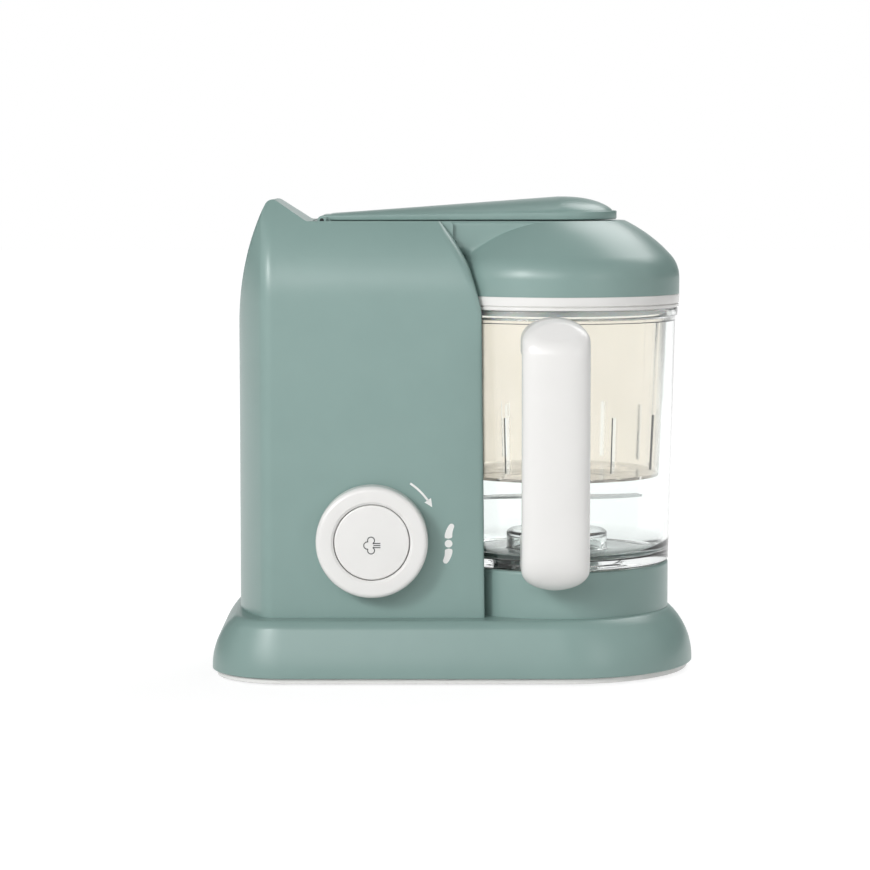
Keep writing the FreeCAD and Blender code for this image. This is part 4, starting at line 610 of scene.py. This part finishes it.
def make_arm():
    """The locking arm. Its plate is its outline carried up over two softly rounded edges. Its crown rises above
    the plate as H (1 - q^2.4)^0.75, where q runs from 0 on the arm's spine to 1 at the crown's edge and H is the
    spine's own height, and its knuckle lies round the hinge pin."""
    soft, knuckle_half, crown_inset = 0.7, 30.0, 2.5
    bend = np.linspace(0, np.pi / 2, 5)
    insets, lifts = soft * (1 - np.sin(bend)), soft * (1 - np.cos(bend))
    rings = []
    for inset, share, rise in zip(
            np.concatenate([insets, insets[::-1]]), np.repeat((0.0, 1.0), bend.size),
            np.concatenate([lifts, -lifts[::-1]])):
        x, off = arm_line(inset).T
        level = plate_under(x) + share * (plate_top(x) - plate_under(x)) + rise
        rings.append(np.stack([x, BOWL_Y + off, level], -1))
    spine = [ring * (1, 0, 1) + (0, BOWL_Y, 0) for ring in (rings[0], rings[-1])]
    plate = np.stack([spine[0], *rings, spine[1]])
    knuckle = bar(sweep(HINGE_X, HINGE_Z, KNUCKLE, 0, 360, 40)[:-1], -knuckle_half, knuckle_half)
    moulded("arm_strip", [plate, knuckle], "arm", "sage_plastic", "arm_plate")

    edge = arm_line(crown_inset)
    middle = np.stack([np.clip(edge[:, 0], HINGE_X + 12.0, BOWL_X), 0 * edge[:, 0]], -1)
    line = np.concatenate([[(HINGE_X + 5.0, 271.8)], arc((1.5, 279.0), (62.0, 282.0), 620.0)])
    tall = np.interp(middle[:, 0], line[:, 0], line[:, 1]) - plate_top(middle[:, 0])
    q = np.sin(np.linspace(0, np.pi / 2, 30))[:, None]
    x, off = (middle + q[..., None] * (edge - middle)).transpose(2, 0, 1)
    crown = np.stack([x, BOWL_Y + off, plate_top(x) - 0.1 + tall * (1 - q ** 2.4) ** 0.75], -1)
    under = np.stack([x, BOWL_Y + off, plate_top(x) - 0.4], -1)[[-1, 0]]
    moulded("arm_crown", [np.concatenate([crown, under])], "arm", "sage_plastic", "arm_cover", sharp=60.0)


# Knob and button


def make_knob():
    """The control knob and the button in its middle, both turned about an axis towards the viewer."""
    ring = rounded(
        [(20.0, 5.0), (22.2, 5.0), (22.2, 14.9), (23.7, 16.0), (32.5, 16.0), (32.5, 1.0), (9.0, 1.0)],
        (0.3, 0.15, 0.15, 3.0, 0.6))
    moulded("knob", [faced(ring)], "knob", "white_plastic", "knob_ring")
    cap = rounded([(0.0, BUTTON_FACE), (21.7, BUTTON_FACE), (21.7, 8.0), (4.0, 8.0), (4.0, 5.0)], (1.0, 0.3, 0.3))
    moulded("button", [faced(cap)], "button", "white_plastic", "steam_button")


def stroke(line, width, y):
    """A band of ink along a line in x and z on a face that looks to the front at y: the line's points go half the
    width to either side of its way."""
    way = np.gradient(line, axis=0)
    side = np.stack([-way[:, 1], way[:, 0]], -1) / np.linalg.norm(way, axis=1, keepdims=True)
    side = side * (np.zeros(len(line)) + width)[:, None] / 2
    left, right = line + side, line - side
    band = np.stack([
        np.stack([flank[:, 0], y - proud + 0 * flank[:, 0], flank[:, 1]], -1)
        for flank, proud in (
            (left, INK_LOW), (left, INK_HIGH), (right, INK_HIGH), (right, INK_LOW), (left, INK_LOW))], 1)
    caps = band[[0, -1]].mean(1, keepdims=True) + 0 * band[[0, -1]]
    return np.concatenate([caps[:1], band, caps[1:]])


def make_signs():
    """The printed signs: beside the knob an arrow round its axis and a two-winged blade, and on the button a puff of
    three round lobes with its jets. Each point of the puff's outline is where a ray from its middle leaves the last
    lobe."""
    orbit = 39.6
    shaft = sweep(KNOB_X, KNOB_Z, orbit, 56, 35, 24)
    head = sweep(KNOB_X, KNOB_Z, orbit, 35.5, 28.6, 8)
    arrow = [stroke(shaft, 1.25, TOWER_FRONT), stroke(head, np.linspace(4.6, 0.1, 8), TOWER_FRONT)]

    hub_x, hub_z, hub_radius = KNOB_X + 44.4, KNOB_Z - 2.4, 2.25
    share = np.linspace(0, 1, 24)
    wing = np.stack([2.6 * share ** 2 - 0.9 * share * (1 - share), 2.9 + 8.6 * share], -1)
    wide = 4.9 * np.sqrt(1 - (2 * share - 1) ** 8) * (1 - 0.4 * share)
    wings = [stroke(wing * sign + (hub_x, hub_z), wide, TOWER_FRONT) for sign in (1, -1)]
    hub = faced(
        [(0.0, INK_HIGH), (hub_radius, INK_HIGH), (hub_radius, INK_LOW), (0.0, INK_LOW)], 40, hub_x, hub_z)
    piece("tower_signs", sheets("tower_signs", arrow + wings + [hub]), WHITE_INK, "housing", "white_plastic")

    # The lobes' middles and radii, the last one filling the gap where the jets start
    lobes = np.array([(-1.9, 0.0, 2.1), (0.2, 2.9, 2.0), (0.2, -2.9, 2.0), (1.0, 0.0, 1.2)])
    opening = 0.42
    t = np.linspace(opening, 2 * np.pi - opening, 120)
    ray = np.stack([np.cos(t), np.sin(t)], -1)
    along = ray @ lobes[:, :2].T
    beside = lobes[:, 2] ** 2 - np.sum(lobes[:, :2] ** 2, 1) + along ** 2
    reach = np.max(np.where(beside > 0, along + np.sqrt(np.maximum(beside, 0)), 0), 1)
    middle = np.array([KNOB_X - 0.6, KNOB_Z - 1.6])
    cloud = middle + ray * reach[:, None]
    jets = [middle + np.stack([np.linspace(1.6, 5.6, 6), np.full(6, rise)], -1) for rise in (-1.2, 0.0, 1.2)]
    puff = [stroke(line, 0.6, TOWER_FRONT - BUTTON_FACE) for line in [cloud] + jets]
    piece("button_sign", sheets("button_sign", puff), GREY_INK, "button", "grey_plastic")


# Solids of the frame that show as they are


def finish_solids():
    """The small parts that show outside, in the bowl or once the lid is up: each is a copy of its solid with its
    loose triangles merged, its curved faces shaded smooth and its edges slightly rounded."""
    for node, width in (
            ("base_plate", 0.5), ("rubber_feet", 0.5), ("base_screws", 0.2), ("tower_tray", 0.3),
            ("hinge_pin", 0.2), ("cord_gland", 0.4), ("blade", 0.0), ("blade_hub", 0.3), ("blade_cap", 0.4),
            ("blade_coupling", 0.3), ("drive_coupling", 0.3), ("bowl_bush", 0.2), ("bowl_seal", 0.2),
            ("handle_screws", 0.2), ("tank_gasket", 0.3), ("steam_duct", 0.0), ("steam_nozzle", 0.2)):
        mesh = frame["nodes"][node].data.copy()
        mesh.name = node + "_shown"
        mesh.materials.clear()
        shell = bmesh.new()
        shell.from_mesh(mesh)
        bmesh.ops.remove_doubles(shell, verts=shell.verts, dist=0.001 * MM)
        shell.to_mesh(mesh)
        shell.free()
        mesh.shade_smooth()
        mesh.set_sharp_from_angle(angle=math.radians(28.0))
        skin = BLACK_STEEL if node == "hinge_pin" else FINISHES[SLOT_OF[node]]
        shown = piece(mesh.name, mesh, skin, BODY_OF[node], SLOT_OF[node], node)
        if width:
            soften(shown, width)


# The set


def seen_rays(tree):
    """1 for rays that show a thing to the camera, straight, in a gloss or through something clear, and 0 for
    those that only light it."""
    path = add(tree, "ShaderNodeLightPath").outputs
    seen = add(
        tree, "ShaderNodeMath", {0: path["Is Camera Ray"], 1: path["Is Glossy Ray"]}, operation="MAXIMUM")
    return add(
        tree, "ShaderNodeMath", {0: seen.outputs[0], 1: path["Is Transmission Ray"]},
        operation="MAXIMUM").outputs[0]


def make_floor():
    """A white floor that keeps the soft shadow under the object."""
    along = np.linspace(-9000.0, 9000.0, 3)
    x, y = np.meshgrid(along, along, indexing="ij")
    ground = bpy.data.objects.new("floor", sheets("floor", [np.stack([x, y, 0 * x], -1)]))
    bpy.context.scene.collection.objects.link(ground)
    # Studio paper: it shows almost white, and the soft shadow under the object stays on it
    paper = bpy.data.materials.new("Matt studio paper")
    paper.use_nodes = True
    tree = paper.node_tree
    tree.nodes.clear()
    seen = seen_rays(tree)
    shade = add(tree, "ShaderNodeMix", {0: seen, 6: linear("#DEDEDD"), 7: linear("#8F8F8F")}, data_type="RGBA")
    place = add(tree, "ShaderNodeTexCoord").outputs["Object"]
    away = add(tree, "ShaderNodeVectorMath", {0: place}, operation="LENGTH").outputs["Value"]
    white = add(
        tree, "ShaderNodeMapRange",
        {"Value": away, "From Min": 0.3, "From Max": 1.2, "To Min": 0.84, "To Max": 1.0})
    lift = add(tree, "ShaderNodeMath", {0: seen, 1: white.outputs["Result"]}, operation="MULTIPLY")
    matt = add(tree, "ShaderNodeBsdfDiffuse", {"Color": shade.outputs[2]})
    glow = add(tree, "ShaderNodeEmission", {"Color": linear("#FFFFFF"), "Strength": lift.outputs[0]})
    both = add(tree, "ShaderNodeAddShader", {0: matt.outputs[0], 1: glow.outputs[0]})
    add(tree, "ShaderNodeOutputMaterial", {"Surface": both.outputs[0]})
    ground.data.materials.append(paper)


def make_lights():
    """Soft boxes, each given as its name, its place and target in metres, its width, height and power."""
    for name, place, target, width, height, power in (
            ("key_box", (-1.0, -1.88, 0.9), (0.0, 0.0, 0.16), 2.4, 0.5, 20.0),
            ("small_box", (-1.15, -1.6, 1.0), (0.0, 0.0, 0.14), 0.4, 0.4, 13.0),
            ("fill_box", (1.2, -1.6, 0.6), (0.05, 0.0, 0.15), 0.5, 0.5, 2.5),
            ("top_box", (0.85, 0.8, 1.55), (0.06, 0.0, 0.22), 1.4, 1.0, 20.0)):
        lamp = bpy.data.lights.new(name, "AREA")
        lamp.shape = "RECTANGLE"
        lamp.size, lamp.size_y, lamp.energy = width, height, power
        box = bpy.data.objects.new(name, lamp)
        bpy.context.scene.collection.objects.link(box)
        way = np.subtract(target, place)
        box.location = place
        box.rotation_euler = (
            math.acos(-way[2] / np.linalg.norm(way)), 0.0, math.atan2(way[1], way[0]) - math.pi / 2)


def make_surround():
    """A surround that is white up to 36 degrees above the floor and dims to a dark ceiling by 52 degrees. In a gloss
    it is dark beside the white behind the object, which draws the object's left and right edges."""
    world = bpy.data.worlds.new("studio")
    bpy.context.scene.world = world
    world.use_nodes = True
    tree = world.node_tree
    tree.nodes.clear()
    way = add(tree, "ShaderNodeSeparateXYZ", {0: add(tree, "ShaderNodeTexCoord").outputs["Generated"]}).outputs
    wall = add(
        tree, "ShaderNodeMapRange",
        {"Value": way["Z"], "From Min": math.sin(math.radians(36)), "From Max": math.sin(math.radians(52)),
         "To Min": 1.0, "To Max": 0.3})
    behind, before = (
        add(tree, "ShaderNodeMapRange", {"Value": way["Y"], "From Min": dark, "From Max": white, "To Min": 0.05})
        for dark, white in ((0.9, 0.98), (0.3, 0.0)))
    sides = add(
        tree, "ShaderNodeMath", {0: behind.outputs["Result"], 1: before.outputs["Result"]}, operation="MAXIMUM")
    path = add(tree, "ShaderNodeLightPath").outputs
    through = add(
        tree, "ShaderNodeMath", {0: path["Is Camera Ray"], 1: path["Is Transmission Ray"]}, operation="MAXIMUM")
    level = add(tree, "ShaderNodeMapRange", {"Value": through.outputs[0], "To Min": 0.35, "To Max": 1.0})
    gloss = add(
        tree, "ShaderNodeMath", {0: path["Is Glossy Ray"], 1: path["Is Transmission Ray"]}, operation="SUBTRACT",
        use_clamp=True)
    mixed = add(
        tree, "ShaderNodeMix", {0: gloss.outputs[0], 2: level.outputs["Result"], 3: sides.outputs[0]})
    light = add(
        tree, "ShaderNodeMath", {0: wall.outputs["Result"], 1: mixed.outputs[0]}, operation="MULTIPLY")
    sky = add(tree, "ShaderNodeBackground", {"Color": linear("#FFFFFF"), "Strength": light.outputs[0]})
    add(tree, "ShaderNodeOutputWorld", {"Surface": sky.outputs[0]})


def make_camera():
    """The camera, in front of the object and about 5 degrees above the level."""
    lens = bpy.data.cameras.new("camera")
    lens.lens, lens.sensor_width = 124.6, 36.0
    camera = bpy.data.objects.new("camera", lens)
    bpy.context.scene.collection.objects.link(camera)
    camera.location = (-0.0116, -1.7867, 0.2995)
    camera.rotation_euler = (math.radians(90.0 - 5.09), 0.0, 0.0)
    bpy.context.scene.camera = camera
    bpy.context.scene.view_settings.view_transform = "Standard"


make_base()
make_pedestal()
make_tower()
make_bowl()
make_basket()
make_handle()
make_lid()
make_arm()
make_knob()
make_signs()
finish_solids()
make_floor()
make_lights()
make_surround()
make_camera()
